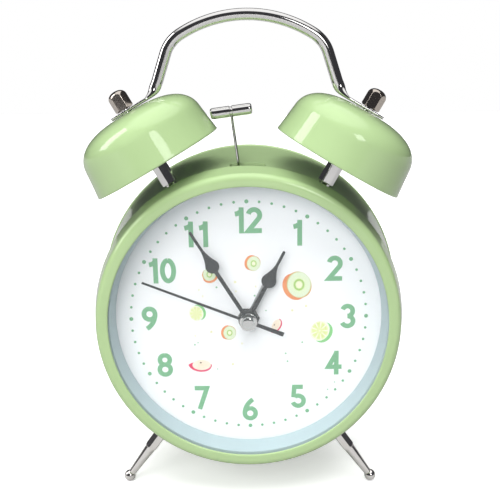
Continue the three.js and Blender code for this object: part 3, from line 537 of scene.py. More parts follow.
def enamel():
    """Glossy stoved paint with a faint orange peel."""
    tone = colours().paint
    made = Shader(
        "green_enamel", roughness=0.3, Coat_Weight=1.0, Coat_Roughness=0.05, Specular_IOR_Level=0.1
    )
    made.colour(made.blend(made.noise(45, 3), shade(tone, 0.96), shade(tone, 1.04)))
    made.rough(0.26, 0.34, 300)
    return made.bump(made.noise(1100, 1), 0.004 * MM).material


def plated(name, tone, low, high, tarnish=0.93):
    """Plated metal: clouded a little, with hairline wiping marks."""
    made = Shader(name, roughness=low, metallic=1.0)
    made.colour(made.blend(made.noise(160, 3), shade(tone, tarnish), tone))
    made.rough(low, high, 500, stretch=(1, 1, 0.15))
    return made.bump(made.noise(2600, 2, stretch=(1, 1, 0.06)), 0.0012 * MM).material


def bare_steel(name, tone, grain=3000):
    made = Shader(name, roughness=0.35, metallic=1.0)
    made.colour(made.blend(made.noise(220, 4), shade(tone, 0.8), shade(tone, 1.1)))
    made.rough(0.28, 0.45, 700)
    return made.bump(made.noise(grain, 2, stretch=(1, 0.1, 0.1)), 0.003 * MM).material


def moulded(name, tone, roughness=0.45, grain=2200, depth=0.012, contrast=0.08):
    """Moulded plastic with a fine spark-eroded texture."""
    made = Shader(name, roughness=roughness)
    made.colour(made.blend(made.noise(90, 3), shade(tone, 1 - contrast), shade(tone, 1 + contrast)))
    made.rough(roughness - 0.06, roughness + 0.08, 400)
    return made.bump(made.noise(grain, 3, roughness=0.6), depth * MM).material


def glass():
    made = Shader("lens_glass", roughness=0.02, Alpha=0.05, IOR=1.5, Base_Color=(0.86, 0.93, 0.93, 1))
    return made.material


def lacquer():
    """Black lacquer on the stamped hands."""
    made = Shader("hand_lacquer", roughness=0.35, Specular_IOR_Level=0.2)
    tone = colours().hands
    made.colour(made.blend(made.noise(700, 2), tone, shade(tone, 1.5)))
    return made.bump(made.noise(2500, 1), 0.002 * MM).material


def coated_card():
    """Coated card: a clean ground with a very fine fibre."""
    made = Shader("dial_card_print", roughness=0.5)
    tone = colours().card
    made.colour(made.blend(made.noise(240, 3), shade(tone, 0.985), shade(tone, 1.01)))
    return made.bump(made.noise(3500, 2), 0.002 * MM).material


def ink(name, tone, contrast=0.07):
    """Screen-printed ink, a little uneven."""
    made = Shader(name, roughness=0.55)
    made.colour(made.blend(made.noise(1500, 3), shade(tone, 1 - contrast), shade(tone, 1 + contrast)))
    return made.bump(made.noise(6000, 1), 0.002 * MM).material


def ring_plastic():
    made = Shader("dial_surround_plastic", roughness=0.42)
    tone = colours().ring
    made.colour(made.blend(made.noise(60, 2), shade(tone, 0.97), shade(tone, 1.03)))
    return made.bump(made.noise(2800, 2), 0.004 * MM).material


def rubber():
    made = Shader("pad_rubber", roughness=0.85)
    tone = colours().rubber
    made.colour(made.blend(made.noise(900, 4), shade(tone, 0.8), shade(tone, 1.6)))
    return made.bump(made.noise(1800, 4), 0.03 * MM).material


def copper_winding():
    """Enamelled copper wire in tight layers."""
    made = Shader("copper_winding", roughness=0.35, metallic=1.0)
    turns = made.node("ShaderNodeTexWave", {"bands_direction": "X"}, Vector=made.place, Scale=1600.0)
    made.colour(made.blend(turns.outputs["Fac"], (0.32, 0.09, 0.03), (0.62, 0.25, 0.10)))
    return made.bump(turns.outputs["Fac"], 0.05 * MM).material


def circuit_laminate():
    """Green solder resist over copper tracks."""
    made = Shader("circuit_laminate", roughness=0.4)
    tracks = made.node("ShaderNodeTexBrick", Vector=made.place, Scale=500.0, Mortar_Size=0.06)
    made.colour(made.blend(tracks.outputs["Fac"], (0.015, 0.10, 0.03), (0.05, 0.25, 0.09)))
    return made.bump(tracks.outputs["Fac"], 0.03 * MM).material


def cell_wrap():
    """A plain two-colour sleeve round the cell, with no print on it."""
    made = Shader("cell_sleeve", roughness=0.3, Coat_Weight=0.5)
    across = made.node("ShaderNodeSeparateXYZ", Vector=made.place).outputs["X"]
    share = made.spread(across, 0.0, 1.0)
    share.node.inputs["From Min"].default_value = -CELL_HALF * MM
    share.node.inputs["From Max"].default_value = (CELL_HALF + CELL_BUTTON) * MM
    bands = made.ramp(
        share,
        (0.0, (0.55, 0.55, 0.54)),
        (0.02, (0.03, 0.10, 0.24)),
        (0.72, (0.62, 0.46, 0.16)),
        (0.965, (0.60, 0.60, 0.58)),
        constant=True,
    )
    made.colour(made.blend(made.math("MULTIPLY", made.noise(300, 3), 0.15), bands, (0.8, 0.8, 0.8)))
    return made.bump(made.noise(1200, 2), 0.01 * MM).material


MAKERS = {
    "enamel": enamel,
    "chrome": lambda: plated("bright_chrome", colours().chrome, 0.05, 0.10),
    "nickel": lambda: plated("warm_nickel", colours().nickel, 0.09, 0.17, tarnish=0.85),
    # The legs' plating is lightened to stand in for the pale floor that they mirror: painted reflection.
    "legs": lambda: plated("nickel_with_painted_floor_reflection", colours().legs, 0.08, 0.15),
    "steel": lambda: bare_steel("bare_steel", colours().steel),
    "brass": lambda: bare_steel("stamped_brass", (0.55, 0.37, 0.12)),
    "glass": glass,
    "lacquer": lacquer,
    "silver": lambda: bare_steel("silvered_hand", (0.55, 0.56, 0.57), grain=5000),
    "card": coated_card,
    "ring": ring_plastic,
    "numerals": lambda: ink("numeral_ink", colours().ink),
    "cover": lambda: moulded("cover_plastic", colours().cover),
    "knob": lambda: moulded("knob_plastic", colours().knobs, roughness=0.38, contrast=0.2),
    "case": lambda: moulded("movement_plastic", (0.022, 0.024, 0.028), roughness=0.5, contrast=0.2),
    "gear": lambda: moulded("gear_plastic", (0.78, 0.75, 0.68), roughness=0.4, grain=1500),
    "rubber": rubber,
    "copper": copper_winding,
    "board": circuit_laminate,
    "cell": cell_wrap,
}


def finish(name):
    """The material of a finish, made when it is first asked for."""
    store = bpy.context.scene
    known = store.get("clock_finishes") or {}
    if name in known and bpy.data.materials.get(known[name]):
        return bpy.data.materials[known[name]]
    made = MAKERS[name]()
    store["clock_finishes"] = {**dict(known), name: made.name}
    return made


# ---------------------------------------------------------------- case


DRUM_FRONT = -18.5 * MM
DRUM_REAR = 19 * MM
SCREW_CIRCLE = 46.5 * MM
SCREW_ANGLES = (0, 118, 242)


def drum_radius(y):
    """Outer radius of the drum at a place along its axis."""
    size = sizes()
    share = (y - DRUM_FRONT) / (DRUM_REAR - DRUM_FRONT)
    return size.drum_front + (size.drum_rear - size.drum_front) * share


def pin_shape(radius, low, high, sides=32):
    """Vertices and faces of a round pin from one height to another."""
    return lathe([(0, low), (radius, low), (radius, high), (0, high)], sides, closed=False)


def screw_place(degrees):
    turn = math.radians(degrees)
    aside = Matrix.Translation((SCREW_CIRCLE * math.sin(turn), 0, SCREW_CIRCLE * math.cos(turn)))
    return aside @ ALONG_DRUM


def make_drum():
    """The tapered shell with its rolled edge, screw lugs, hammer slot and stud holes."""
    size = sizes()
    front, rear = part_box("case_drum")[0].y, DRUM_REAR
    bead = 0.9 * MM
    bead_middle = (size.drum_rear - size.wall / 2, rear + bead)
    profile = [(size.drum_front - size.wall, front), (size.drum_front, front)]
    parts = 6
    for part in range(1, parts):
        along = front + (rear - front) * part / parts
        profile.append((drum_radius(along), along))
    profile += arc(bead_middle, bead, -52, 232, 18)
    shell = solid("drum_shell", lathe(profile, size.segments), ALONG_DRUM)
    slot = soften(rectangle(6 * MM, 2.2 * MM), 1.6 * MM, steps=6)
    slot_place = AT_AXIS @ Matrix.Translation((0, BELL_PLANE, 0))
    cutters = [solid("slot_cutter", slab(slot, 40 * MM, 60 * MM), slot_place)]
    for _, sign in SIDES:
        for turn, plane in (
            (sign * size.bell_lean, BELL_PLANE), (math.pi - sign * size.leg_spread, LEG_PLANE)
        ):
            hole = pin_shape(STUD_HOLE * MM, 45 * MM, 57 * MM)
            cutters.append(solid("stud_hole_cutter", hole, radial(turn, plane)))
    lugs = []
    for degrees in SCREW_ANGLES:
        low = (-4 * MM, 15 * MM, SCREW_CIRCLE - 3.5 * MM)
        high = (4 * MM, 17 * MM, drum_radius(15 * MM) - size.wall / 2)
        turned = AT_AXIS @ Matrix.Rotation(math.radians(degrees), 4, "Y")
        lugs.append(solid("lug", box_mesh(low, high), turned))
        cutters.append(
            solid("screw_hole_cutter", pin_shape(1.5 * MM, 10 * MM, 18 * MM), screw_place(degrees))
        )
    combined(shell, "UNION", gathered("lugs", lugs))
    return combined(shell, "DIFFERENCE", gathered("cutters", cutters))


class CLOCK_OT_case_drum(Operator):
    """Make the painted steel drum, with its hammer slot and rolled rear edge"""

    bl_idname = "clock.case_drum"
    bl_label = "Case drum"

    def execute(self, context):
        dress(make_drum(), finish("enamel"), "case", "green_paint", "case_drum")
        return {"FINISHED"}


class CLOCK_OT_bezel(Operator):
    """Make the painted bezel, pressed from sheet, with its rounded shoulder and turned-in lip"""

    bl_idname = "clock.bezel"
    bl_label = "Bezel"

    def execute(self, context):
        size = sizes()
        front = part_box("bezel_ring")[0].y / MM
        inner = size.bezel_inner / MM
        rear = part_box("bezel_ring")[1].y / MM
        shoulder = cubic((48.3, front), (49.9, front), (50.5, front + 1.1), (50.7, front + 2.9), 12)
        lip = cubic(
            (inner, front + 0.42), (inner, front + 0.1), (inner + 0.25, front), (inner + 0.75, front), 5
        )
        rolled = arc((51.6, rear - 0.4), 0.4, 10, 190, 8)
        skirt_inside = [(49.6, front + 2.9), (48.9, front + 0.6), (inner, front + 0.6)]
        profile = scaled(lip + shoulder + rolled + skirt_inside)
        piece = solid("bezel_pressing", lathe(profile, size.segments), ALONG_DRUM)
        dress(piece, finish("enamel"), "case", "green_paint", "bezel_ring")
        return {"FINISHED"}


class CLOCK_OT_lens(Operator):
    """Make the flat glass lens with its ground edge"""

    bl_idname = "clock.lens"
    bl_label = "Lens"

    def execute(self, context):
        low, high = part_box("glass_lens")
        radius = high.x
        grind = 0.25 * MM
        profile = [(0, low.y), (radius - grind, low.y), (radius, low.y + grind), (radius, high.y - grind),
                   (radius - grind, high.y), (0, high.y)]
        piece = solid("lens", lathe(profile, sizes().segments, closed=False), ALONG_DRUM)
        dress(piece, finish("glass"), "case", "clear_glass", "glass_lens", smooth=20)
        return {"FINISHED"}


# ---------------------------------------------------------------- dial


def dial_disc(name, node, hole, segments):
    low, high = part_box(node)
    outer = high.x
    profile = [(outer, low.y), (outer, high.y), (hole, high.y), (hole, low.y)]
    return solid(name, lathe(profile, segments), ALONG_DRUM)


class CLOCK_OT_dial_ring(Operator):
    """Make the pale surround that slopes from the lens down to the dial"""

    bl_idname = "clock.dial_ring"
    bl_label = "Dial surround"

    def execute(self, context):
        low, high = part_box("dial_ring")
        outer, inner = high.x, sizes().bezel_inner
        foot = inner - 1.1 * MM
        profile = soften(
            [(outer, low.y), (outer, high.y), (foot, high.y), (inner, low.y)], 0.25 * MM, steps=4
        )
        piece = solid("dial_surround", lathe(profile, sizes().segments), ALONG_DRUM)
        dress(piece, finish("ring"), "case", "ring_plastic", "dial_ring")
        return {"FINISHED"}


def ribbon(points, width):
    """Both sides of a line of constant width, mitred at its corners."""
    left, right = [], []
    count = len(points)
    for index, point in enumerate(points):
        here = Vector(point)
        before = (here - Vector(points[index - 1])).normalized() if index else None
        after = (Vector(points[index + 1]) - here).normalized() if index < count - 1 else None
        before, after = before or after, after or before
        normal = Vector((-(before.y + after.y), before.x + after.x)).normalized()
        across = normal * (width / 2) / max(0.4, normal.dot(Vector((-before.y, before.x))))
        left.append(here + across)
        right.append(here - across)
    return left, right


def stroke_mesh(strokes, width, low, high):
    """Raised lines of ink; each of them lies a hair above the one before where they cross."""
    vertices, faces = [], []
    for order, points in enumerate(strokes):
        left, right = ribbon(points, width)
        top = high + order * 0.004 * MM
        first = len(vertices)
        for a, b in zip(left, right):
            vertices += [(a.x, a.y, low), (b.x, b.y, low), (b.x, b.y, top), (a.x, a.y, top)]
        for index in range(len(points) - 1):
            here, there = first + 4 * index, first + 4 * (index + 1)
            for side in range(4):
                after = (side + 1) % 4
                faces.append((here + side, here + after, there + after, there + side))
        last = first + 4 * (len(points) - 1)
        faces += [(first + 3, first + 2, first + 1, first), (last, last + 1, last + 2, last + 3)]
    return vertices, faces


def loop(centre, across, up, start=90, turn=360, steps=32):
    """Part of an ellipse, from a start angle through a turn, both in degrees."""
    points = arc((0, 0), 1, start, start + turn, steps)
    return [(centre[0] + across * x, centre[1] + up * y) for x, y in points]


def digit_strokes(digit, height, width, stroke):
    """Centrelines of a digit about its own middle: its outline is height by width with its strokes."""
    top, side = (height - stroke) / 2, (width - stroke) / 2
    half = stroke / 2
    small = top / 2
    if digit == "0":
        return [loop((0, 0), side, top, turn=360)]
    if digit == "1":
        stem = side * 0.35
        flag = cubic(
            (stem, top - 0.1 * top), (stem * 0.4, top * 0.74), (-side * 0.3, top * 0.62),
            (-side * 0.75, top * 0.6), 6,
        )
        return [[(stem, -top - half), (stem, top + half)], flag]
    if digit == "2":
        bowl = loop((0, top - side), side, side, start=165, turn=-195, steps=20)
        return [[*bowl, (-side, -top), (side + half * 0.8, -top)]]
    if digit == "3":
        upper = loop((0, small), side * 0.92, small, start=160, turn=-250, steps=22)
        lower = loop((0, -small), side, small, start=90, turn=-250, steps=22)
        return [upper, lower]
    if digit == "4":
        stem = side * 0.45
        bar = -top * 0.42
        return [[(stem, -top - half), (stem, top + half)],
                [(stem, top), (-side, bar), (side + half, bar)]]
    if digit == "5":
        bowl = loop((0, -top + side), side, side, start=128, turn=-290, steps=26)
        return [[(side * 0.86, top), (-side * 0.72, top), (-side * 0.86, bowl[0][1] - half * 0.2)], bowl]
    if digit == "6":
        ring = loop((0, -top + side), side, side, start=90, turn=360)
        stem = cubic(
            (side * 0.55, top), (-side * 0.5, top * 0.65), (-side, 0.05 * top), (-side, -top + side), 14
        )
        return [ring, stem]
    if digit == "7":
        return [[(-side - half * 0.6, top), (side, top), (-side * 0.42, -top - half)]]
    if digit == "8":
        return [
            loop((0, small * 1.04), side * 0.9, small * 0.96), loop((0, -small * 0.96), side, small * 1.04)
        ]
    ring = loop((0, top - side), side, side, start=90, turn=360)
    stem = cubic(
        (-side * 0.55, -top), (side * 0.5, -top * 0.65), (side, -0.05 * top), (side, top - side), 14
    )
    return [ring, stem]


def numeral_strokes():
    size = sizes()
    height, stroke = size.numeral_height, size.numeral_stroke
    wide = 0.62 * height
    strokes = []
    for hour in range(1, 13):
        turn = math.radians(30 * hour)
        x, y = size.numeral_circle * math.sin(turn), size.numeral_circle * math.cos(turn)
        text = str(hour)
        gap = 0.56 * height if len(text) == 2 else 0
        for place, digit in enumerate(text):
            shift = (place - (len(text) - 1) / 2) * gap
            for points in digit_strokes(digit, height, wide, stroke):
                strokes.append([(x + shift + u, y + v) for u, v in points])
    return strokes


class CLOCK_OT_dial(Operator):
    """Make the dial card with its printed numerals and minute dots"""

    bl_idname = "clock.dial"
    bl_label = "Dial card and numerals"

    def execute(self, context):
        size = sizes()
        card = dial_disc("dial_face", "dial_card", 3.2 * MM, size.segments)
        dress(card, finish("card"), "case", "dial_print", "dial_card")
        strokes = stroke_mesh(numeral_strokes(), size.numeral_stroke, 0, size.print_height)
        numerals = solid("hour_numerals", strokes, ON_CARD)
        dress(numerals, finish("numerals"), "case", "dial_print")
        dots = []
        for minute in range(60):
            turn = math.radians(6 * minute)
            radius = size.minute_dot if minute % 5 else size.hour_dot
            place = Matrix.Translation(
                (size.dot_circle * math.sin(turn), size.dot_circle * math.cos(turn), 0)
            )
            dots.append(solid("dot", pin_shape(radius, 0, size.print_height, 20), ON_CARD @ place))
        dress(gathered("minute_dots", dots), finish("numerals"), "case", "dial_print")
        return {"FINISHED"}


# ---------------------------------------------------------------- printed fruit


def decal(name, outline, material, height, mark=None):
    """A thin plate of ink in the dial's frame. mark is (middle, size, turn) of its pattern's square."""
    mesh = slab(outline, 0, height)
    middle_point, reach, turn = mark or ((0, 0), (1, 1), 0)
    while mesh.uv_layers:
        mesh.uv_layers.remove(mesh.uv_layers[0])
    layer = mesh.uv_layers.new(name="pattern")
    lean = math.radians(turn)
    for loop_index, corner in enumerate(mesh.loops):
        spot = mesh.vertices[corner.vertex_index].co
        u, v = (spot.x - middle_point[0]) / reach[0], (spot.y - middle_point[1]) / reach[1]
        layer.data[loop_index].uv = (
            u * math.cos(lean) + v * math.sin(lean), v * math.cos(lean) - u * math.sin(lean)
        )
    piece = solid(name, mesh, ON_CARD)
    return dress(piece, material, "case", "dial_print")


def radial_pattern(name, spokes, spoke_amount, spoke_tone, *stops):
    """Rings of colour about the pattern's middle, crossed by fine spokes."""
    made = Shader(name, roughness=0.55)
    uv = made.node("ShaderNodeTexCoord").outputs["UV"]
    parts = made.node("ShaderNodeSeparateXYZ", Vector=uv).outputs
    radius = made.node("ShaderNodeVectorMath", {"operation": "LENGTH"}, Vector=uv).outputs["Value"]
    rings = made.ramp(radius, *stops)
    around = made.math("ARCTAN2", parts["Y"], parts["X"])
    wave = made.math("COSINE", made.math("MULTIPLY", around, float(spokes)))
    line = made.spread(wave, 0.0, 1.0)
    line.node.inputs["From Min"].default_value = 0.55
    line.node.inputs["From Max"].default_value = 0.95
    none, full = (0, 0, 0), (1, 1, 1)
    band = made.ramp(radius, (0.0, none), (0.2, none), (0.3, full), (0.8, full), (0.9, none))
    amount = made.math("MULTIPLY", made.math("MULTIPLY", line, band), spoke_amount)
    made.colour(made.blend(amount, rings, spoke_tone))
    return made.bump(made.noise(6000, 1), 0.002 * MM).material


def shaded_skin(name, dark, light):
    """Printed rind, shaded from one side to the other with a little mottling."""
    made = Shader(name, roughness=0.55)
    uv = made.node("ShaderNodeTexCoord").outputs["UV"]
    across = made.node("ShaderNodeSeparateXYZ", Vector=uv).outputs["X"]
    share = made.math("MULTIPLY_ADD", across, 0.5, 0.5)
    mottled = made.math("ADD", share, made.math("MULTIPLY", made.noise(2500, 2), 0.3))
    made.colour(made.blend(mottled, dark, light))
    return made.bump(made.noise(6000, 1), 0.002 * MM).material


def fruit_materials():
    return {
        "kiwi_face": radial_pattern(
            "printed_kiwi_face", 26, 0.35, (0.42, 0.62, 0.22),
            (0.0, (0.93, 0.93, 0.72)), (0.24, (0.88, 0.92, 0.62)), (0.33, (0.32, 0.58, 0.08)),
            (0.40, (0.40, 0.64, 0.14)),
            (0.48, (0.80, 0.90, 0.62)), (0.86, (0.78, 0.88, 0.68)), (0.94, (0.62, 0.70, 0.34)),
            (1.0, (0.72, 0.34, 0.10)),
        ),
        "kiwi_skin": shaded_skin("printed_kiwi_skin", (0.72, 0.10, 0.03), (0.85, 0.30, 0.10)),
        "lime_face": radial_pattern(
            "printed_lime_face", 9, 0.9, (0.95, 0.96, 0.86),
            (0.0, (0.95, 0.96, 0.86)), (0.12, (0.80, 0.86, 0.40)), (0.7, (0.76, 0.84, 0.34)),
            (0.84, (0.84, 0.90, 0.50)),
            (0.9, (0.94, 0.96, 0.84)), (1.0, (0.88, 0.94, 0.74)),
        ),
        "lime_skin": shaded_skin("printed_lime_skin", (0.30, 0.68, 0.28), (0.22, 0.60, 0.20)),
        "apple_face": radial_pattern(
            "printed_apple_face", 3, 0.12, (0.90, 0.72, 0.45),
            (0.0, (0.90, 0.76, 0.58)), (0.6, (0.94, 0.84, 0.70)), (1.0, (0.93, 0.80, 0.70)),
        ),
        "apple_skin": shaded_skin("printed_apple_skin", (0.80, 0.02, 0.10), (0.72, 0.04, 0.14)),
        "seed": ink("printed_seed", (0.10, 0.04, 0.02), contrast=0.3),
        "fleck_green": ink("printed_green_flecks", (0.28, 0.55, 0.34), contrast=0.2),
        "fleck_yellow": ink("printed_yellow_flecks", (0.86, 0.84, 0.52), contrast=0.1),
    }


# Cut fruit: kind, middle and radius in millimetres, and the way that its rind shows, in degrees.
CUT_FRUIT = (
    ("kiwi", (16.8, 11.1), 4.9, 205),
    ("kiwi", (1.8, 19.0), 2.7, 160),
    ("kiwi", (-12.8, 15.1), 2.6, 290),
    ("kiwi", (-6.8, -5.4), 2.6, 170),
    ("lime", (-17.5, 1.8), 2.9, 20),
    ("lime", (24.6, -5.3), 3.9, -30),
)
# Apple wedges: middle and half width in millimetres, turn in degrees.
WEDGES = ((-17.0, -17.1, 4.1, 0), (9.3, -3.2, 2.9, 62))
# Flecks: ink, radius and places in millimetres.
FLECKS = (
    (
        "fleck_green", 0.32,
        ((2.2, 7.7), (-10.6, 10.8), (-18.6, -9.6), (18.3, -9.2), (12.6, -13.2), (13.2, -16.1)),
    ),
    ("fleck_green", 0.24, ((-17.5, -8.9), (6.0, 2.4), (-11, -18.6), (29.5, -24.0), (27.1, -26.7))),
    ("fleck_yellow", 0.45, ((-4.3, 12.6), (14.9, 2.3), (-12.8, -5.0), (-5.7, -16.9), (19.6, 3.8))),
    (
        "fleck_yellow", 0.3,
        ((-16.6, 10), (-15.4, 7.7), (2.6, 10.9), (-2.4, -9.4), (-4.1, 9.3), (8.5, -20.6), (-18.4, -6.4)),
    ),
)


class CLOCK_OT_dial_fruit(Operator):
    """Make the printed fruit and flecks of colour on the dial"""

    bl_idname = "clock.dial_fruit"
    bl_label = "Printed fruit"

    def execute(self, context):
        inks = fruit_materials()
        base = sizes().print_height
        upper = base + 0.01 * MM
        for number, (kind, place, radius, tilt) in enumerate(CUT_FRUIT, start=1):
            lean = math.radians(tilt)
            x, y, reach = place[0] * MM, place[1] * MM, radius * MM
            back = (x + 0.24 * reach * math.cos(lean), y + 0.24 * reach * math.sin(lean))
            face = (x - 0.10 * reach * math.cos(lean), y - 0.10 * reach * math.sin(lean))
            rind = ellipse(back, 0.80 * reach, 0.98 * reach, 40, tilt)
            cut = ellipse(face, 0.84 * reach, 0.97 * reach, 40, tilt)
            decal(f"{kind}_rind_{number}", rind, inks[f"{kind}_skin"], base, (back, (reach, reach), tilt))
            decal(
                f"{kind}_face_{number}", cut, inks[f"{kind}_face"], upper,
                (face, (0.86 * reach, 0.97 * reach), 0),
            )
        self.wedges(inks, base, upper)
        for number, (kind, radius, places) in enumerate(FLECKS, start=1):
            flecks = []
            for x, y in places:
                place = ON_CARD @ Matrix.Translation((x * MM, y * MM, 0))
                flecks.append(solid("fleck", pin_shape(radius * MM, 0, base, 12), place))
            dress(gathered(f"flecks_{number}", flecks), inks[kind], "case", "dial_print")
        return {"FINISHED"}

    def wedges(self, inks, base, upper):
        """Two apple wedges: a red rind that comes to a point, a pale cut face and a seed."""
        for number, (x, y, size, tilt) in enumerate(WEDGES, start=1):
            turned = Matrix.Translation((x * MM, y * MM, 0)) @ Matrix.Rotation(math.radians(tilt), 4, "Z")

            def placed(*points):
                return [tuple((turned @ Vector((u * size * MM, v * size * MM, 0))).xy) for u, v in points]

            rind = cubic((-1.0, 0.05), (-0.8, -0.75), (0.95, -0.9), (1.0, 0.02), 14)
            rind += cubic((1.0, 0.02), (0.6, 0.35), (-0.5, 0.45), (-1.0, 0.05), 8)[1:-1]
            face, seed_place = placed((0.12, 0.02), (0.05, 0.22))
            cut = ellipse(face, 0.78 * size * MM, 0.46 * size * MM, 32, tilt)
            mark = (face, (size * MM, size * MM), tilt)
            decal(f"apple_rind_{number}", placed(*rind), inks["apple_skin"], base, mark)
            decal(f"apple_face_{number}", cut, inks["apple_face"], upper, mark)
            seed = ellipse(seed_place, 0.09 * size * MM, 0.06 * size * MM, 16, tilt)
            decal(f"apple_seed_{number}", seed, inks["seed"], upper + 0.01 * MM)


# ---------------------------------------------------------------- hands


def spade_hand(hub, shaft, bulb, bulb_at, taper_end, needle, tip):
    """The right side of a spade hand from its hub up, in millimetres, mirrored into a closed outline."""
    right = arc((0, 0), hub, -90, 90 - math.degrees(math.asin(shaft / 2 / hub)), 20)
    right += [(shaft / 2, hub + 0.2), (shaft / 2, bulb_at - bulb * 0.99)]
    right += arc((0, bulb_at), bulb, -72, 28, 12)
    start, end = right[-1], (needle / 2, taper_end)
    flank = cubic(start, (bulb * 0.62, bulb_at + bulb * 0.95), (needle * 0.75, taper_end - 2.2), end, 8)
    right += flank[1:]
    right += arc((0, tip - needle / 2), needle / 2, 0, 80, 4)
    right[0] = (0.0, -hub)
    right.append((0.0, tip))
    return scaled(mirrored(right))


def hand_angle(node):
    """How far a hand is turned clockwise from twelve, from its vertex that is furthest from the middle."""
    points = [vertex.co - Vector((0, 0, AXIS_HEIGHT)) for vertex in frame["nodes"][node].data.vertices]
    tip = max(points, key=lambda point: math.hypot(point.x, point.z))
    return math.atan2(tip.x, tip.z)


def hand(name, node, outline, bore, material, slot):
    low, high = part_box(node)
    behind, before = DIAL_FACE - high.y, DIAL_FACE - low.y
    hole = arc((0, 0), bore, 0, 360, 24)[:-1]
    mesh = slab(outline, behind, before, [hole], edge=0.07 * MM)
    piece = solid(name, mesh, ON_DIAL @ Matrix.Rotation(-hand_angle(node), 4, "Z"))
    return dress(piece, finish(material), body_of(node), slot, node)


class CLOCK_OT_hands(Operator):
    """Make the hour, minute, second and alarm hands, their chrome cap and the nut below them"""

    bl_idname = "clock.hands"
    bl_label = "Hands"

    def execute(self, context):
        hour = spade_hand(hub=3.3, shaft=1.3, bulb=2.5, bulb_at=15.2, taper_end=21.2, needle=0.95, tip=26.6)
        minute = spade_hand(hub=3.3, shaft=1.3, bulb=2.3, bulb_at=22.2, taper_end=28.4, needle=0.95, tip=36)
        hand("hour_hand_stamping", "hour_hand", hour, 1.67 * MM, "lacquer", "hand_black")
        hand("minute_hand_stamping", "minute_hand", minute, 1.07 * MM, "lacquer", "hand_black")
        right = [
            (0.75, -12.7), (0.6, -2.2), *arc((0, 0), 2.3, -70, 70, 10), (0.48, 2.5), (0.36, 37.7),
            (0.2, 37.8),
        ]
        second = scaled([(x, y) for x, y in right] + [(-x, y) for x, y in reversed(right)])
        hand("second_hand_stamping", "second_hand", second, 0.54 * MM, "lacquer", "hand_black")
        right = [*arc((0, 0), 3, -90, 70, 16), (0.9, 3), (0.35, 12.8), (0.0, 13)]
        right[0] = (0.0, -3)
        hand(
            "alarm_hand_stamping", "alarm_hand", scaled(mirrored(right)), 2.32 * MM, "silver", "hand_silver"
        )
        self.cap()
        self.nut()
        return {"FINISHED"}

    def cap(self):
        low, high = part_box("hand_cap")
        radius, depth = high.x, high.y - low.y
        rim, dome = 0.32 * depth, 0.66 * radius
        profile = [(0, 0), (0.96 * radius, 0), (radius, 0.08 * depth), (radius, rim)]
        profile += [(0.95 * radius, rim + 0.06 * depth), (dome + 0.05 * radius, rim + 0.12 * depth)]
        profile += cubic(
            (dome, rim + 0.16 * depth), (dome * 0.9, 0.85 * depth), (dome * 0.5, depth), (0, depth), 10
        )
        place = ON_DIAL @ Matrix.Translation((0, 0, DIAL_FACE - high.y))
        piece = solid("hand_cap_turning", lathe(profile, 64, closed=False), place)
        dress(piece, finish("chrome"), "second", "chrome", "hand_cap")

    def nut(self):
        low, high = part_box("dial_nut")
        outline = soften(hexagon((high.x - low.x) / 2 * math.sqrt(3), 0), 0.4 * MM, steps=3)
        hole = arc((0, 0), 3.2 * MM, 0, 360, 32)[:-1]
        mesh = slab(outline, DIAL_FACE - high.y, DIAL_FACE - low.y, [hole], edge=0.12 * MM)
        dress(solid("dial_nut_stamping", mesh, ON_DIAL), finish("chrome"), "case", "chrome", "dial_nut")


# ---------------------------------------------------------------- bells, posts, nuts and legs

# In millimetres; each AT and LEG_REACH, the middle of the ball, is a distance outwards from the drum's axis.
BELL_RIM_AT = 59.7
BELL_TOP_AT = 78.9
BELL_WALL = 0.9
TAB_AT = 79.65
NUT_AT = 80.4
NUT_HEIGHT = 6.6
LEG_SHOULDER_AT = 62.0
LEG_REACH = 75.8
BALL_RADIUS = 2.0


def bell_profile():
    """The bell's section: its flank and dome, the same again inside by the wall, and a rounded rim."""
    radius = sizes().bell_radius / MM
    shoulder = (radius - 1.2, 69.7)
    flank = cubic((radius, BELL_RIM_AT + 0.5), (radius - 0.35, 62.4), (radius - 0.75, 65.9), shoulder, 8)
    dome = cubic(shoulder, (radius - 1.9, 75.2), (15.5, 78.4), (6.5, BELL_TOP_AT), 28)
    outside = flank + dome[1:] + [(STUD_HOLE, BELL_TOP_AT)]
    inside = []
    for index in range(len(outside) - 2, 0, -1):
        before, after = Vector(outside[index - 1]), Vector(outside[index + 1])
        along = (after - before).normalized()
        inside.append((outside[index][0] - BELL_WALL * along.y, outside[index][1] + BELL_WALL * along.x))
    lower = [(radius - BELL_WALL, BELL_RIM_AT + 0.5)]
    rim = arc((radius - BELL_WALL / 2, BELL_RIM_AT + BELL_WALL / 2), BELL_WALL / 2, 200, 340, 6)
    return scaled(outside + [(STUD_HOLE, BELL_TOP_AT - BELL_WALL)] + inside + lower + rim)


class CLOCK_OT_bells(Operator):
    """Make both painted bells, pressed with a rounded crown and an open, rounded rim"""

    bl_idname = "clock.bells"
    bl_label = "Bells"

    def execute(self, context):
        size = sizes()
        for side, sign in SIDES:
            place = radial(sign * size.bell_lean, BELL_PLANE)
            piece = solid(f"bell_pressing_{side}", lathe(bell_profile(), size.segments), place)
            dress(piece, finish("enamel"), "case", "green_paint", f"bell_{side}")
        return {"FINISHED"}


def seat_at(plane, radius):
    """Where a radial piece stands on the sloping drum."""
    return drum_radius(plane + radius) + GAP * MM


def stud_end(plane, radius):
    """Where its threaded end stops inside the drum."""
    return drum_radius(plane - radius) - sizes().wall - 4.5 * MM


def hex_bar(across, low, high, degrees, edge):
    """A hexagonal bar with softened corners and ends."""
    outline = soften(hexagon(across, degrees), edge, steps=3)
    return slab(outline, low, high, edge=edge * 0.8)


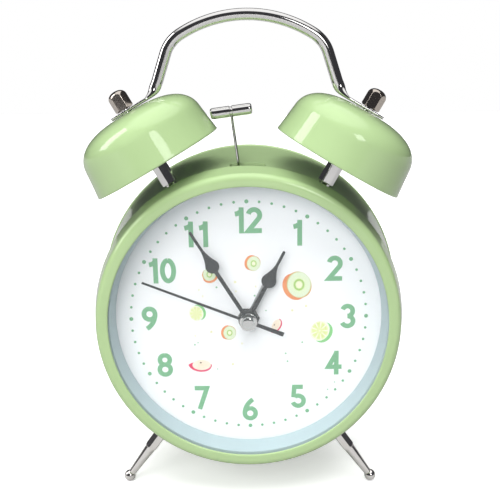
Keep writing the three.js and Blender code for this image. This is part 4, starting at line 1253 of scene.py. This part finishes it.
class CLOCK_OT_posts(Operator):
    """Make the hexagonal bell posts and the cap nuts on them"""

    bl_idname = "clock.posts"
    bl_label = "Bell posts and cap nuts"

    def execute(self, context):
        size = sizes()
        radius = size.post_across / math.sqrt(3)
        shoulder = (BELL_TOP_AT - BELL_WALL - GAP) * MM
        # Seen along its own axis each hexagon stands turned as its thread left it, in degrees.
        for side, sign, post_turn, nut_turn in (("left", -1, -36, 0), ("right", 1, 0, -10)):
            place = radial(sign * size.bell_lean, BELL_PLANE)
            hexagonal = hex_bar(
                size.post_across, seat_at(BELL_PLANE, radius), shoulder, post_turn, 0.22 * MM
            )
            post = solid(f"post_bar_{side}", hexagonal, place)
            stud = pin_shape(STUD_RADIUS * MM, stud_end(BELL_PLANE, radius), (NUT_AT + 2.6) * MM, 24)
            combined(post, "UNION", solid("stud", stud, place))
            dress(post, finish("chrome"), "case", "chrome", f"bell_post_{side}")
            nut = self.cap_nut(size.nut_across, place, nut_turn)
            nut.name = f"acorn_nut_{side}"
            dress(nut, finish("nickel"), "case", "nickel", f"cap_nut_{side}")
        return {"FINISHED"}

    def cap_nut(self, across, place, degrees):
        """A hexagon whose facets run up into a rounded crown."""
        corner = across / math.sqrt(3) / MM
        low = NUT_AT
        top = low + NUT_HEIGHT
        profile = [(0, low), (corner - 0.5, low), (corner, low + 0.4)]
        profile += cubic((corner, low + 4), (corner - 0.05, low + 5.5), (2.2, top), (0, top), 16)
        blank = solid("acorn_nut", lathe(scaled(profile), 96, closed=False), place)
        outline = soften(hexagon(across, degrees), 0.16 * MM, steps=3)
        prism = slab(outline, (low - 1) * MM, (low + NUT_HEIGHT + 1) * MM)
        combined(blank, "INTERSECT", solid("hexagon", prism, place))
        bore = solid("bore", pin_shape(STUD_HOLE * MM, (low - 1) * MM, (low + 3) * MM), place)
        return combined(blank, "DIFFERENCE", bore)


class CLOCK_OT_legs(Operator):
    """Make the two turned legs: a hexagon, a long taper and a ball foot"""

    bl_idname = "clock.legs"
    bl_label = "Legs"

    def execute(self, context):
        size = sizes()
        for side, sign in SIDES:
            place = radial(math.pi - sign * size.leg_spread, LEG_PLANE)
            leg = self.hexagonal_part(size, place, sign * 15)
            leg.name = f"leg_turning_{side}"
            combined(leg, "UNION", self.taper(place))
            # Lightened nickel: the legs carry a painted reflection of the pale floor.
            dress(leg, finish("legs"), "case", "nickel", f"leg_{side}")
        return {"FINISHED"}

    def hexagonal_part(self, size, place, degrees):
        corner = size.leg_across / math.sqrt(3)
        shoulder = LEG_SHOULDER_AT * MM
        seat = seat_at(LEG_PLANE, sizes().post_across / math.sqrt(3))
        profile = [(0, seat), (corner - 0.2 * MM, seat), (corner, seat + 0.2 * MM)]
        profile += [(corner, shoulder - 0.9 * MM), (1.95 * MM, shoulder), (0, shoulder)]
        blank = solid("leg", lathe(profile, 96, closed=False), place)
        outline = soften(hexagon(size.leg_across, degrees), 0.14 * MM, steps=3)
        prism = solid("hexagon", slab(outline, seat - MM, shoulder + MM), place)
        return combined(blank, "INTERSECT", prism)

    def taper(self, place):
        """The threaded end, the shoulder, the long taper and the ball, as one turned piece."""
        end = stud_end(LEG_PLANE, sizes().post_across / math.sqrt(3)) / MM
        neck = 1.3
        profile = [(0, end), (STUD_RADIUS, end), (STUD_RADIUS, LEG_SHOULDER_AT - 1)]
        profile += [(1.88, LEG_SHOULDER_AT - 0.5), (1.9, LEG_SHOULDER_AT + 0.2)]
        profile += [(neck + 0.02, LEG_REACH - 1.72), (neck - 0.12, LEG_REACH - 1.62)]
        profile += arc((0, LEG_REACH), BALL_RADIUS, -50, 90, 22)[:-1]
        profile += [(0, LEG_REACH + BALL_RADIUS)]
        return solid("taper", lathe(scaled(profile), 64, closed=False), place)


# ---------------------------------------------------------------- handle and hammer


TAB_PAST_NUT = 5.5


def handle_route():
    """The rod's centreline in X and Z about the drum's axis, in millimetres, from tab to tab."""
    lean = sizes().bell_lean

    def along_tab(distance, outwards=TAB_AT):
        return Vector((outwards * math.sin(lean) + distance * math.cos(lean),
                       outwards * math.cos(lean) - distance * math.sin(lean)))

    top, radius, arc_end = 99.4, 41.2, 0.56
    shoulder = Vector((25.2, 90.8))
    low_bend = along_tab(-11.2, TAB_AT + 0.55)

    def arc_point(turn):
        return Vector((radius * math.sin(turn), top - radius + radius * math.cos(turn)))

    def bend(start, corner, end, steps):
        share = [step / steps for step in range(steps + 1)]
        return [start * (1 - t) ** 2 + corner * (2 * t * (1 - t)) + end * t * t for t in share]

    half = [arc_point(arc_end * step / 16) for step in range(17)]
    half += bend(arc_point(arc_end), shoulder, shoulder.lerp(low_bend, 0.22), 12)[1:]
    half += bend(shoulder.lerp(low_bend, 0.74), low_bend, along_tab(-8), 14)
    half += [along_tab(-7 + step) for step in range(12)]
    half += [along_tab(TAB_PAST_NUT - 0.5), along_tab(TAB_PAST_NUT)]
    return [Vector((-point.x, point.y)) for point in reversed(half[1:])] + half


class CLOCK_OT_handle(Operator):
    """Make the carrying handle: a chrome rod flattened into a thin tab at each end"""

    bl_idname = "clock.handle"
    bl_label = "Handle"

    def execute(self, context):
        route = handle_route()
        sides = 32
        travelled = [0.0]
        for before, after in zip(route, route[1:]):
            travelled.append(travelled[-1] + (after - before).length)
        frames, sections = [], []
        rod = sizes().rod_radius / MM
        tab_half_thick, tab_half_wide = 0.45, 4.0
        tab_length, blend_length, tab_squareness = TAB_PAST_NUT + 7.5, 5.5, 0.35
        for index, point in enumerate(route):
            along = (route[min(index + 1, len(route) - 1)] - route[max(index - 1, 0)]).normalized()
            from_end = min(travelled[index], travelled[-1] - travelled[index])
            share = max(0.0, min(1.0, (from_end - tab_length) / blend_length))
            flat = 1 - share * share * (3 - 2 * share)
            half = rod + (tab_half_thick - rod) * flat
            wide = rod + (tab_half_wide - rod) * flat
            wide *= math.sqrt(max(0.15, 1 - (1 - min(1.0, from_end / 1.6)) ** 2))
            power = 1 + (tab_squareness - 1) * flat
            ring = []
            for side in range(sides):
                turn = 2 * math.pi * side / sides
                up = half * math.copysign(abs(math.sin(turn)) ** power, math.sin(turn))
                out = wide * math.copysign(abs(math.cos(turn)) ** power, math.cos(turn))
                ring.append((-up * along.y * MM, out * MM, up * along.x * MM))
            frames.append(Matrix.Translation((point.x * MM, BELL_PLANE, AXIS_HEIGHT + point.y * MM)))
            sections.append(ring)
        piece = solid("handle_rod", sweep(frames, sections))
        for _, sign in SIDES:
            hole = pin_shape(STUD_HOLE * MM, (TAB_AT - 3) * MM, (TAB_AT + 3) * MM)
            combined(piece, "DIFFERENCE", solid("hole", hole, radial(sign * sizes().bell_lean, BELL_PLANE)))
        dress(piece, finish("chrome"), "case", "chrome", "handle", smooth=50)
        return {"FINISHED"}


class CLOCK_OT_hammer(Operator):
    """Make the hammer's head and the thin rod that carries it"""

    bl_idname = "clock.hammer"
    bl_label = "Hammer"

    def execute(self, context):
        lean = math.radians(-7.6)
        place = Matrix.Translation(joint_place("hammer_swing")) @ Matrix.Rotation(lean, 4, "Y")
        reach, half, radius, groove = 40.2, 6.9, 1.85, 0.28
        right = [(0, half)]
        right += cubic((0.9, half), (radius - 0.25, half), (radius, half - 0.35), (radius, half - 1.3), 8)
        right += [(radius, 0.5), (radius - groove, 0.32)]
        profile = [(r, -h) for r, h in right] + [(r, h) for r, h in reversed(right)]
        lying = place @ Matrix.Translation((0, 0, reach * MM)) @ Matrix.Rotation(math.pi / 2, 4, "Y")
        head = solid("hammer_head_turning", lathe(scaled(profile), 64, closed=False), lying)
        socket = pin_shape(0.75 * MM, (reach - 3) * MM, reach * MM, 24)
        combined(head, "DIFFERENCE", solid("socket", socket, place))
        dress(head, finish("chrome"), "hammer", "chrome", "hammer_head")
        start, length_out, steps = 10, 29.9, 12
        wire = [(0, 0, (start + length_out * step / steps) * MM) for step in range(steps + 1)]
        rod = solid("hammer_wire", tube(wire, 0.45 * MM, 20), place)
        dress(rod, finish("chrome"), "hammer", "chrome", "hammer_rod")
        return {"FINISHED"}


# ---------------------------------------------------------------- back of the clock

BAY_HALF = (27.6, 7.95)
BAY_HEIGHT = -27.5
SWITCH_HEIGHT = 24.0
SWITCH_TRAVEL = 7.0
FOOT_SCREW_HEIGHT = -44.0
ARBOR_OFFSET = 14.4


def block(name, low, high, edge=0.0):
    """A block about the drum's axis, in millimetres, with rounded edges."""
    made = solid(name, box_mesh(scaled([low])[0], scaled([high])[0]), AT_AXIS)
    return rounded(made, edge * MM, 3) if edge else made


def beside_axis(x, z):
    """The frame of a turned piece that stands beside the drum's axis, in millimetres."""
    return AT_AXIS @ Matrix.Translation((x * MM, 0, z * MM)) @ Matrix.Rotation(-math.pi / 2, 4, "X")


def bored(x, z, radius, low=5, high=40):
    """A round tool for a hole along the drum's axis, in millimetres."""
    return solid("bore", pin_shape(radius * MM, low * MM, high * MM), beside_axis(x, z))


def arrow_round(radius, start, end, width):
    """The outline of a curved arrow, in millimetres, with its head at the end angle."""
    turn = 1 if end > start else -1
    outer = arc((0, 0), radius + width / 2, start, end, 14)
    inner = arc((0, 0), radius - width / 2, end, start, 14)
    head_from, head_to = end, end + turn * 22
    head = arc((0, 0), radius + 1.6 * width, head_from, head_from, 1)[:1]
    head += arc((0, 0), radius, head_to, head_to, 1)[:1]
    head += arc((0, 0), radius - 1.6 * width, head_from, head_from, 1)[:1]
    return outer + head + inner


def raised_mark(points, place):
    """A flat mark, in millimetres, rooted in the plastic and standing a little out of it."""
    return solid("arrow", slab(scaled(points), -0.35 * MM, 0.1 * MM), place)


class CLOCK_OT_back_cover(Operator):
    """Make the moulded back cover with its battery bay, and the battery door"""

    bl_idname = "clock.back_cover"
    bl_label = "Back cover and door"

    def execute(self, context):
        cover = self.shell()
        dress(cover, finish("cover"), "case", "cover_plastic", "back_cover")
        dress(self.door(), finish("cover"), "door", "cover_plastic", "battery_door")
        return {"FINISHED"}

    def shell(self):
        rim = sizes().cover_radius / MM
        back = COVER_BACK / MM
        profile = [(0, back - 2), (49.2, back - 2), (51.4, 18), (rim, 18), (rim, 20.2)]
        profile += cubic((rim, 20.2), (rim, 21.6), (52.2, back - 0.2), (50.6, back), 8)[1:]
        profile += [(45.0, back), (44.6, back - 0.35), (43.9, back - 0.35), (43.5, back), (0, back)]
        cover = solid("cover_moulding", lathe(scaled(profile), sizes().segments, closed=False), ALONG_DRUM)
        across, up = BAY_HALF
        wall, front = 1.5, 6.0
        tray = block("tray", (-across - wall, front - wall, BAY_HEIGHT - up - wall),
                     (across + wall, back - 1.5, BAY_HEIGHT + up + wall))
        combined(cover, "UNION", tray)
        cutters = [
            block("bay", (-across, front, BAY_HEIGHT - up), (across, back + 1, BAY_HEIGHT + up), 0.6)
        ]
        slot_half = (SWITCH_TRAVEL + 3.4) / 2 + 0.4
        cutters.append(block("switch_slot", (-slot_half, back - 4, SWITCH_HEIGHT - 2.1),
                             (slot_half, back + 2, SWITCH_HEIGHT + 2.1), 0.5))
        holes = [(-ARBOR_OFFSET, 0), (ARBOR_OFFSET, 0), (0, FOOT_SCREW_HEIGHT)]
        for degrees in SCREW_ANGLES:
            turn = math.radians(degrees)
            holes.append((SCREW_CIRCLE / MM * math.sin(turn), SCREW_CIRCLE / MM * math.cos(turn)))
        cutters += [bored(x, z, SCREW_HOLE, 17) for x, z in holes]
        combined(cover, "DIFFERENCE", gathered("cutters", cutters))
        return combined(cover, "UNION", gathered("marks", self.marks()))

    def marks(self):
        """Raised arrows: which way each knob turns, and where the switch goes."""
        marks = []
        for x in (-ARBOR_OFFSET, ARBOR_OFFSET):
            place = ON_BACK @ Matrix.Translation((x * MM, 0, 0))
            marks.append(raised_mark(arrow_round(10.4, 40, 118, 0.9), place))
        for base, point in ((-10.2, -12.4), (10.2, 12.4)):
            points = [(base, SWITCH_HEIGHT + 1.4), (base, SWITCH_HEIGHT - 1.4), (point, SWITCH_HEIGHT)]
            marks.append(raised_mark(points, ON_BACK))
        return marks

    def door(self):
        low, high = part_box("battery_door")
        back = COVER_BACK / MM
        half = (high.x - low.x) / 2 / MM
        bottom, top = (low.z - AXIS_HEIGHT) / MM, (high.z - AXIS_HEIGHT) / MM
        door = block("door_moulding", (-half, back - 1.6, bottom), (half, back, top), 0.35)
        ribs = []
        for above in (2.0, 3.8, 5.6):
            height = BAY_HEIGHT + above
            ribs.append(block("rib", (-6, back - 0.5, height), (6, back + DOOR_RIB, height + 0.8), 0.25))
        arrow = [(-1.6, BAY_HEIGHT - 0.5), (0, BAY_HEIGHT - 3.2), (1.6, BAY_HEIGHT - 0.5)]
        ribs.append(raised_mark(arrow, ON_BACK))
        return combined(door, "UNION", gathered("ribs", ribs))


class CLOCK_OT_controls(Operator):
    """Make the two setting knobs and the alarm switch"""

    bl_idname = "clock.controls"
    bl_label = "Knobs and switch"

    def execute(self, context):
        for node in ("time_set_knob", "alarm_set_knob"):
            piece = self.knob(node)
            piece.name = node.replace("set_knob", "knob_moulding")
            dress(piece, finish("knob"), body_of(node), "black_plastic", node)
        dress(self.slider(), finish("knob"), "switch", "black_plastic", "alarm_switch")
        return {"FINISHED"}

    def knob(self, node):
        """A fluted grip with a dished face and a raised bar across it."""
        low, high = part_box(node)
        centre = (low + high) / 2
        radius, flute_depth = sizes().knob_radius, 0.5 * MM
        flutes, per_flute = 18, 10
        outline = []
        for step in range(flutes * per_flute):
            turn = 2 * math.pi * step / (flutes * per_flute)
            hollow = max(0.0, math.cos(turn * flutes)) ** 2
            reach = radius - flute_depth * hollow
            outline.append((reach * math.cos(turn), reach * math.sin(turn)))
        place = Matrix.Translation((centre.x, high.y, AXIS_HEIGHT)) @ Matrix.Rotation(-math.pi / 2, 4, "X")
        grip = solid("knob", slab(outline, low.y - high.y + 1.5 * MM, 0, edge=0.45 * MM, steps=3), place)
        collar = solid("collar", pin_shape(4 * MM, low.y - high.y, low.y - high.y + 2 * MM, 48), place)
        combined(grip, "UNION", collar)
        dish = lathe(scaled([(0, -0.55), (5.6, -0.55), (6.1, 0.3), (0, 0.3)]), 64, closed=False)
        combined(grip, "DIFFERENCE", solid("dish", dish, place))
        bar = slab(scaled(soften(rectangle(5.9, 1), 0.4)), -0.9 * MM, -0.02 * MM, edge=0.2 * MM)
        combined(grip, "UNION", solid("bar", bar, place))
        bore = solid("bore", pin_shape(1.3 * MM, low.y - high.y - MM, -2 * MM, 24), place)
        return combined(grip, "DIFFERENCE", bore)

    def slider(self):
        x, z = -SWITCH_TRAVEL / 2, SWITCH_HEIGHT
        back = COVER_BACK / MM
        stem = block("switch_moulding", (x - 1.7, 17.5, z - 1.7), (x + 1.7, back + 1, z + 1.7), 0.15)
        pad = block("pad", (x - 2.8, back + 0.3, z - 3.2), (x + 2.8, back + 3.4, z + 3.2), 0.5)
        combined(stem, "UNION", pad)
        for offset in (-1.5, 0, 1.5):
            low, high = (x + offset - 0.3, back + 3.0, z - 2.4), (x + offset + 0.3, back + 4, z + 2.4)
            combined(stem, "DIFFERENCE", block("groove", low, high))
        return stem


def pan_screw(name, shank_end, head_from, place):
    """A pan-head screw with a cross recess; heights in millimetres along its axis."""
    head, shank, tip, top = SCREW_HEAD, 1.2, 0.7, head_from + 1.8
    crown = cubic((head, head_from + 0.5), (head, top - 0.5), (head * 0.7, top), (0, top), 10)
    profile = [(0, shank_end), (tip, shank_end), (shank, shank_end + 0.8), (shank, head_from)]
    profile += [(head - 0.15, head_from), (head, head_from + 0.15), *crown]
    screw = solid(name, lathe(scaled(profile), 48, closed=False), place)
    for wide, deep in ((3.0, 0.7), (0.7, 3.0)):
        half_wide, half_deep = wide / 2 * MM, deep / 2 * MM
        low, high = (-half_wide, -half_deep, (top - 0.9) * MM), (half_wide, half_deep, (top + 1) * MM)
        combined(screw, "DIFFERENCE", solid("recess", box_mesh(low, high), place))
    return screw


class CLOCK_OT_screws(Operator):
    """Make the cover screws and the foot screw"""

    bl_idname = "clock.screws"
    bl_label = "Screws"

    def execute(self, context):
        seat = COVER_BACK / MM + GAP
        for number, degrees in enumerate(SCREW_ANGLES, start=1):
            place = screw_place(degrees) @ Matrix.Rotation(math.radians(25 + 40 * number), 4, "Z")
            screw = pan_screw(f"cover_pan_screw_{number}", 13.5, seat, place)
            dress(screw, finish("nickel"), "case", "nickel", f"cover_screw_{number}")
        foot_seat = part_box("rear_foot")[1].y / MM + GAP
        place = beside_axis(0, FOOT_SCREW_HEIGHT) @ Matrix.Rotation(0.4, 4, "Z")
        screw = pan_screw("foot_pan_screw", 17, foot_seat, place)
        dress(screw, finish("nickel"), "case", "nickel", "foot_screw")
        return {"FINISHED"}


class CLOCK_OT_rear_foot(Operator):
    """Make the moulded rear foot and its grooved rubber pad"""

    bl_idname = "clock.rear_foot"
    bl_label = "Rear foot"

    def execute(self, context):
        low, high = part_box("rear_foot")
        back, front = high.y / MM, low.y / MM
        bottom = (low.z - AXIS_HEIGHT) / MM
        cover = COVER_BACK / MM
        rib = soften(
            [(-9, FOOT_SCREW_HEIGHT + 5), (-14, bottom), (14, bottom), (9, FOOT_SCREW_HEIGHT + 5)], 1.2
        )
        lying = AT_AXIS @ Matrix.Rotation(math.pi / 2, 4, "X")
        foot = solid(
            "foot_moulding", slab(scaled(rib), -back * MM, -(cover + GAP) * MM, edge=0.4 * MM), lying
        )
        combined(foot, "UNION", block("toe", (-14, front, bottom), (14, cover + 2, -57.4), 0.5))
        combined(foot, "DIFFERENCE", bored(0, FOOT_SCREW_HEIGHT, SCREW_HOLE, 18))
        dress(foot, finish("cover"), "case", "cover_plastic", "rear_foot")
        low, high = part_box("foot_pad")
        pad = solid("pad_moulding", box_mesh(low, high))
        rounded(pad, 0.3 * MM, 3)
        for step in range(5):
            x = low.x + (high.x - low.x) * (step + 1) / 6
            groove = box_mesh(
                (x - 0.5 * MM, low.y - MM, low.z - MM), (x + 0.5 * MM, high.y + MM, low.z + 0.5 * MM)
            )
            combined(pad, "DIFFERENCE", solid("groove", groove))
        dress(pad, finish("rubber"), "case", "rubber", "foot_pad")
        return {"FINISHED"}


class CLOCK_OT_battery(Operator):
    """Make the cell, its coiled spring and its contact"""

    bl_idname = "clock.battery"
    bl_label = "Battery"

    def execute(self, context):
        low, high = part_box("battery_cell")
        centre = (low + high) / 2
        radius = (high.z - low.z) / 2 / MM
        half = CELL_HALF
        profile = [(0, -half), (5.6, -half), (5.9, -half + 0.25), (radius - 0.6, -half + 0.25)]
        profile += arc((radius - 0.5, -half + 0.5), 0.5, -70, 0, 5)
        profile += arc((radius - 0.7, half - 0.7), 0.7, 0, 90, 6)
        button, end = 2.7, half + CELL_BUTTON
        profile += [(3.4, half), (3.1, half - 0.2), (button, half - 0.2), (button, end - 0.2)]
        profile += [(button - 0.3, end), (0, end)]
        lying = Matrix.Translation((0, centre.y, centre.z)) @ Matrix.Rotation(math.pi / 2, 4, "Y")
        cell = solid("cell", lathe(scaled(profile), 72, closed=False), lying)
        dress(cell, finish("cell"), "case", "cell_wrap", "battery_cell")
        low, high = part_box("battery_spring")
        turns, steps = 2.2, 90
        start = low.x + 0.4 * MM
        coil = []
        for step in range(steps + 1):
            t = step / steps
            turn, reach = 2 * math.pi * turns * t, (4.6 - 1.8 * t) * MM
            coil.append(
                (start + 1.9 * MM * t, centre.y + reach * math.cos(turn), centre.z + reach * math.sin(turn))
            )
        spring = solid("spring_wire", tube(coil, 0.3 * MM, 14))
        dress(spring, finish("steel"), "case", "steel", "battery_spring")
        contact = rounded(solid("contact_plate", box_mesh(*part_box("battery_contact"))), 0.12 * MM, 2)
        dress(contact, finish("nickel"), "case", "nickel", "battery_contact")
        return {"FINISHED"}


# ---------------------------------------------------------------- pieces that keep their CAD shape

KEPT_FINISHES = {
    "steel": (
        "dial_plate", "hammer_bracket", "hammer_pivot", "hammer_lever", "striker_core", "minute_pinion",
        "post_nut_left", "post_nut_right", "leg_nut_left", "leg_nut_right",
    ),
    "brass": ("alarm_wheel",),
    "gear": ("hour_wheel", "second_wheel", "time_set_arbor", "alarm_set_arbor"),
    "case": ("movement_front", "movement_rear", "switch_body"),
    "copper": ("striker_coil", "stepper_coil"),
    "board": ("circuit_board",),
}


class CLOCK_OT_movement(Operator):
    """Give the movement, striker and hidden fasteners their materials"""

    bl_idname = "clock.movement"
    bl_label = "Movement and striker"

    def execute(self, context):
        for name, nodes in KEPT_FINISHES.items():
            for node in nodes:
                slots = frame["nodes"][node].data.materials
                slots.clear()
                slots.append(finish(name))
        return {"FINISHED"}


# ---------------------------------------------------------------- stage


# Softboxes that show in the gloss only: place, width and height in metres.
SOFTBOXES = {
    "left_softbox": ((-0.76, -0.06, 0.56), 0.30, 0.62),
    "front_softbox": ((0.28, -0.80, 0.45), 0.26, 0.26),
}


class CLOCK_OT_stage(Operator):
    """Make the floor, the softboxes, the surroundings and the camera"""

    bl_idname = "clock.stage"
    bl_label = "Stage"

    def execute(self, context):
        stage = context.scene.clock_stage
        self.floor()
        aim = Vector((0, 0, AXIS_HEIGHT + 0.02))
        broad = self.softbox("front_light", Vector((-0.35, -0.85, 0.55)), aim, 0.9, 0.6, stage.front)
        broad.visible_glossy = False
        for name, (place, wide, high) in SOFTBOXES.items():
            power = stage.gloss * math.pi * wide * high
            self.softbox(name, Vector(place), aim, wide, high, power).visible_diffuse = False
        self.overhead(stage.sky)
        self.surroundings(context, stage)
        self.camera(context, stage)
        context.scene.view_settings.view_transform = "Standard"
        return {"FINISHED"}

    def floor(self):
        """A pale floor that throws back less light than it shows, so that the gloss stays deep."""
        made = Shader("studio_floor", roughness=0.6)
        seen = made.node("ShaderNodeLightPath").outputs["Is Camera Ray"]
        pale = made.blend(made.noise(3, 2), (0.90, 0.90, 0.90), (0.93, 0.93, 0.93))
        made.colour(made.blend(seen, (0.45, 0.45, 0.45), pale))
        made.shader.inputs["Emission Color"].default_value = (1, 1, 1, 1)
        made.feed(made.shader.inputs["Emission Strength"], made.math("MULTIPLY", seen, 0.45))
        made.bump(made.noise(900, 2), 0.02 * MM)
        reach = 2.5
        corners = [(x, y, 0) for x, y in rectangle(reach, reach)]
        floor = solid("floor", (corners, [(0, 1, 2, 3)]))
        floor.data.materials.append(made.material)

    def softbox(self, name, place, aim, wide, high, power):
        """A rectangular area light turned to face a point."""
        light = bpy.data.lights.new(name, "AREA")
        light.shape = "RECTANGLE"
        light.size, light.size_y = wide, high
        light.energy = power
        carrier = bpy.data.objects.new(name, light)
        carrier.location = place
        carrier.rotation_euler = (aim - place).to_track_quat("-Z", "Y").to_euler()
        bpy.context.scene.collection.objects.link(carrier)
        return carrier

    def overhead(self, strength):
        """Broad light from above that leaves no disc in the gloss."""
        light = bpy.data.lights.new("overhead", "SUN")
        light.energy = strength
        light.angle = math.radians(45)
        carrier = bpy.data.objects.new("overhead", light)
        carrier.rotation_euler = (math.radians(18), 0, 0)
        carrier.visible_glossy = False
        bpy.context.scene.collection.objects.link(carrier)

    def surroundings(self, context, stage):
        """White where the camera sees it; for all other rays a dim room with a bright ceiling."""
        world = bpy.data.worlds.new("studio")
        context.scene.world = world
        world.use_nodes = True
        tree = world.node_tree
        tree.nodes.clear()
        coordinates, parts, ramp, room, white, path, mix, output = (
            tree.nodes.new(f"ShaderNode{kind}")
            for kind in (
                "TexCoord", "SeparateXYZ", "ValToRGB", "Background", "Background", "LightPath", "MixShader",
                "OutputWorld",
            )
        )
        dim, bright = ramp.color_ramp.elements
        dim.position, dim.color = 0.74, (0.05, 0.05, 0.055, 1)
        bright.position, bright.color = 0.84, (1.3, 1.3, 1.3, 1)
        room.inputs["Strength"].default_value = stage.ambient
        white.inputs["Color"].default_value = (1, 1, 1, 1)
        for source, target in (
            (coordinates.outputs["Generated"], parts.inputs[0]),
            (parts.outputs["Z"], ramp.inputs["Fac"]),
            (ramp.outputs["Color"], room.inputs["Color"]),
            (path.outputs["Is Camera Ray"], mix.inputs["Fac"]),
            (room.outputs[0], mix.inputs[1]),
            (white.outputs[0], mix.inputs[2]),
            (mix.outputs[0], output.inputs["Surface"]),
        ):
            tree.links.new(source, target)

    def camera(self, context, stage):
        """The camera looks a little down at the dial, which stands below the middle of the view."""
        data = bpy.data.cameras.new("camera")
        data.lens = stage.lens
        data.sensor_width = 36
        data.clip_start = 0.01
        camera = bpy.data.objects.new("camera", data)
        context.scene.collection.objects.link(camera)
        level = math.cos(stage.pitch)
        back = Vector((math.sin(stage.yaw) * level, -math.cos(stage.yaw) * level, math.sin(stage.pitch)))
        right = (-back).cross(Vector((0, 0, 1))).normalized()
        up = right.cross(-back)
        rolled_right = right * math.cos(stage.roll) + up * math.sin(stage.roll)
        rolled_up = up * math.cos(stage.roll) - right * math.sin(stage.roll)
        dial = Vector((0, DIAL_FACE, AXIS_HEIGHT))
        place = dial + back * stage.distance - rolled_right * stage.right - rolled_up * stage.up
        turn = Matrix((rolled_right, rolled_up, back)).transposed().to_4x4()
        camera.matrix_world = Matrix.Translation(place) @ turn
        context.scene.camera = camera


# ---------------------------------------------------------------- add-on

PIECE_OPERATORS = (
    CLOCK_OT_case_drum,
    CLOCK_OT_bezel,
    CLOCK_OT_lens,
    CLOCK_OT_dial_ring,
    CLOCK_OT_dial,
    CLOCK_OT_dial_fruit,
    CLOCK_OT_hands,
    CLOCK_OT_bells,
    CLOCK_OT_posts,
    CLOCK_OT_legs,
    CLOCK_OT_handle,
    CLOCK_OT_hammer,
    CLOCK_OT_back_cover,
    CLOCK_OT_controls,
    CLOCK_OT_screws,
    CLOCK_OT_rear_foot,
    CLOCK_OT_battery,
    CLOCK_OT_movement,
)


class CLOCK_PT_pieces(Panel):
    """Lists the pieces of the clock and their sizes and colours"""

    bl_idname = "CLOCK_PT_pieces"
    bl_label = "Alarm clock"
    bl_space_type = "VIEW_3D"
    bl_region_type = "UI"
    bl_category = "Clock"

    def draw(self, context):
        column = self.layout.column(align=True)
        for operator in (CLOCK_OT_stage, *PIECE_OPERATORS):
            column.operator(operator.bl_idname)
        for group in (context.scene.clock_sizes, context.scene.clock_colours, context.scene.clock_stage):
            box = self.layout.box()
            for name in group.__annotations__:
                box.prop(group, name)


GROUPS = {"clock_sizes": ClockSizes, "clock_colours": ClockColours, "clock_stage": ClockStage}
CLASSES = (*GROUPS.values(), CLOCK_OT_stage, *PIECE_OPERATORS, CLOCK_PT_pieces)


def register():
    for cls in CLASSES:
        bpy.utils.register_class(cls)
    for name, group in GROUPS.items():
        setattr(bpy.types.Scene, name, PointerProperty(type=group))


def unregister():
    for name in GROUPS:
        delattr(bpy.types.Scene, name)
    for cls in reversed(CLASSES):
        bpy.utils.unregister_class(cls)


def main():
    register()
    for operator in (CLOCK_OT_stage, *PIECE_OPERATORS):
        group, name = operator.bl_idname.split(".")
        getattr(getattr(bpy.ops, group), name)()


if __name__ == "__main__":
    main()
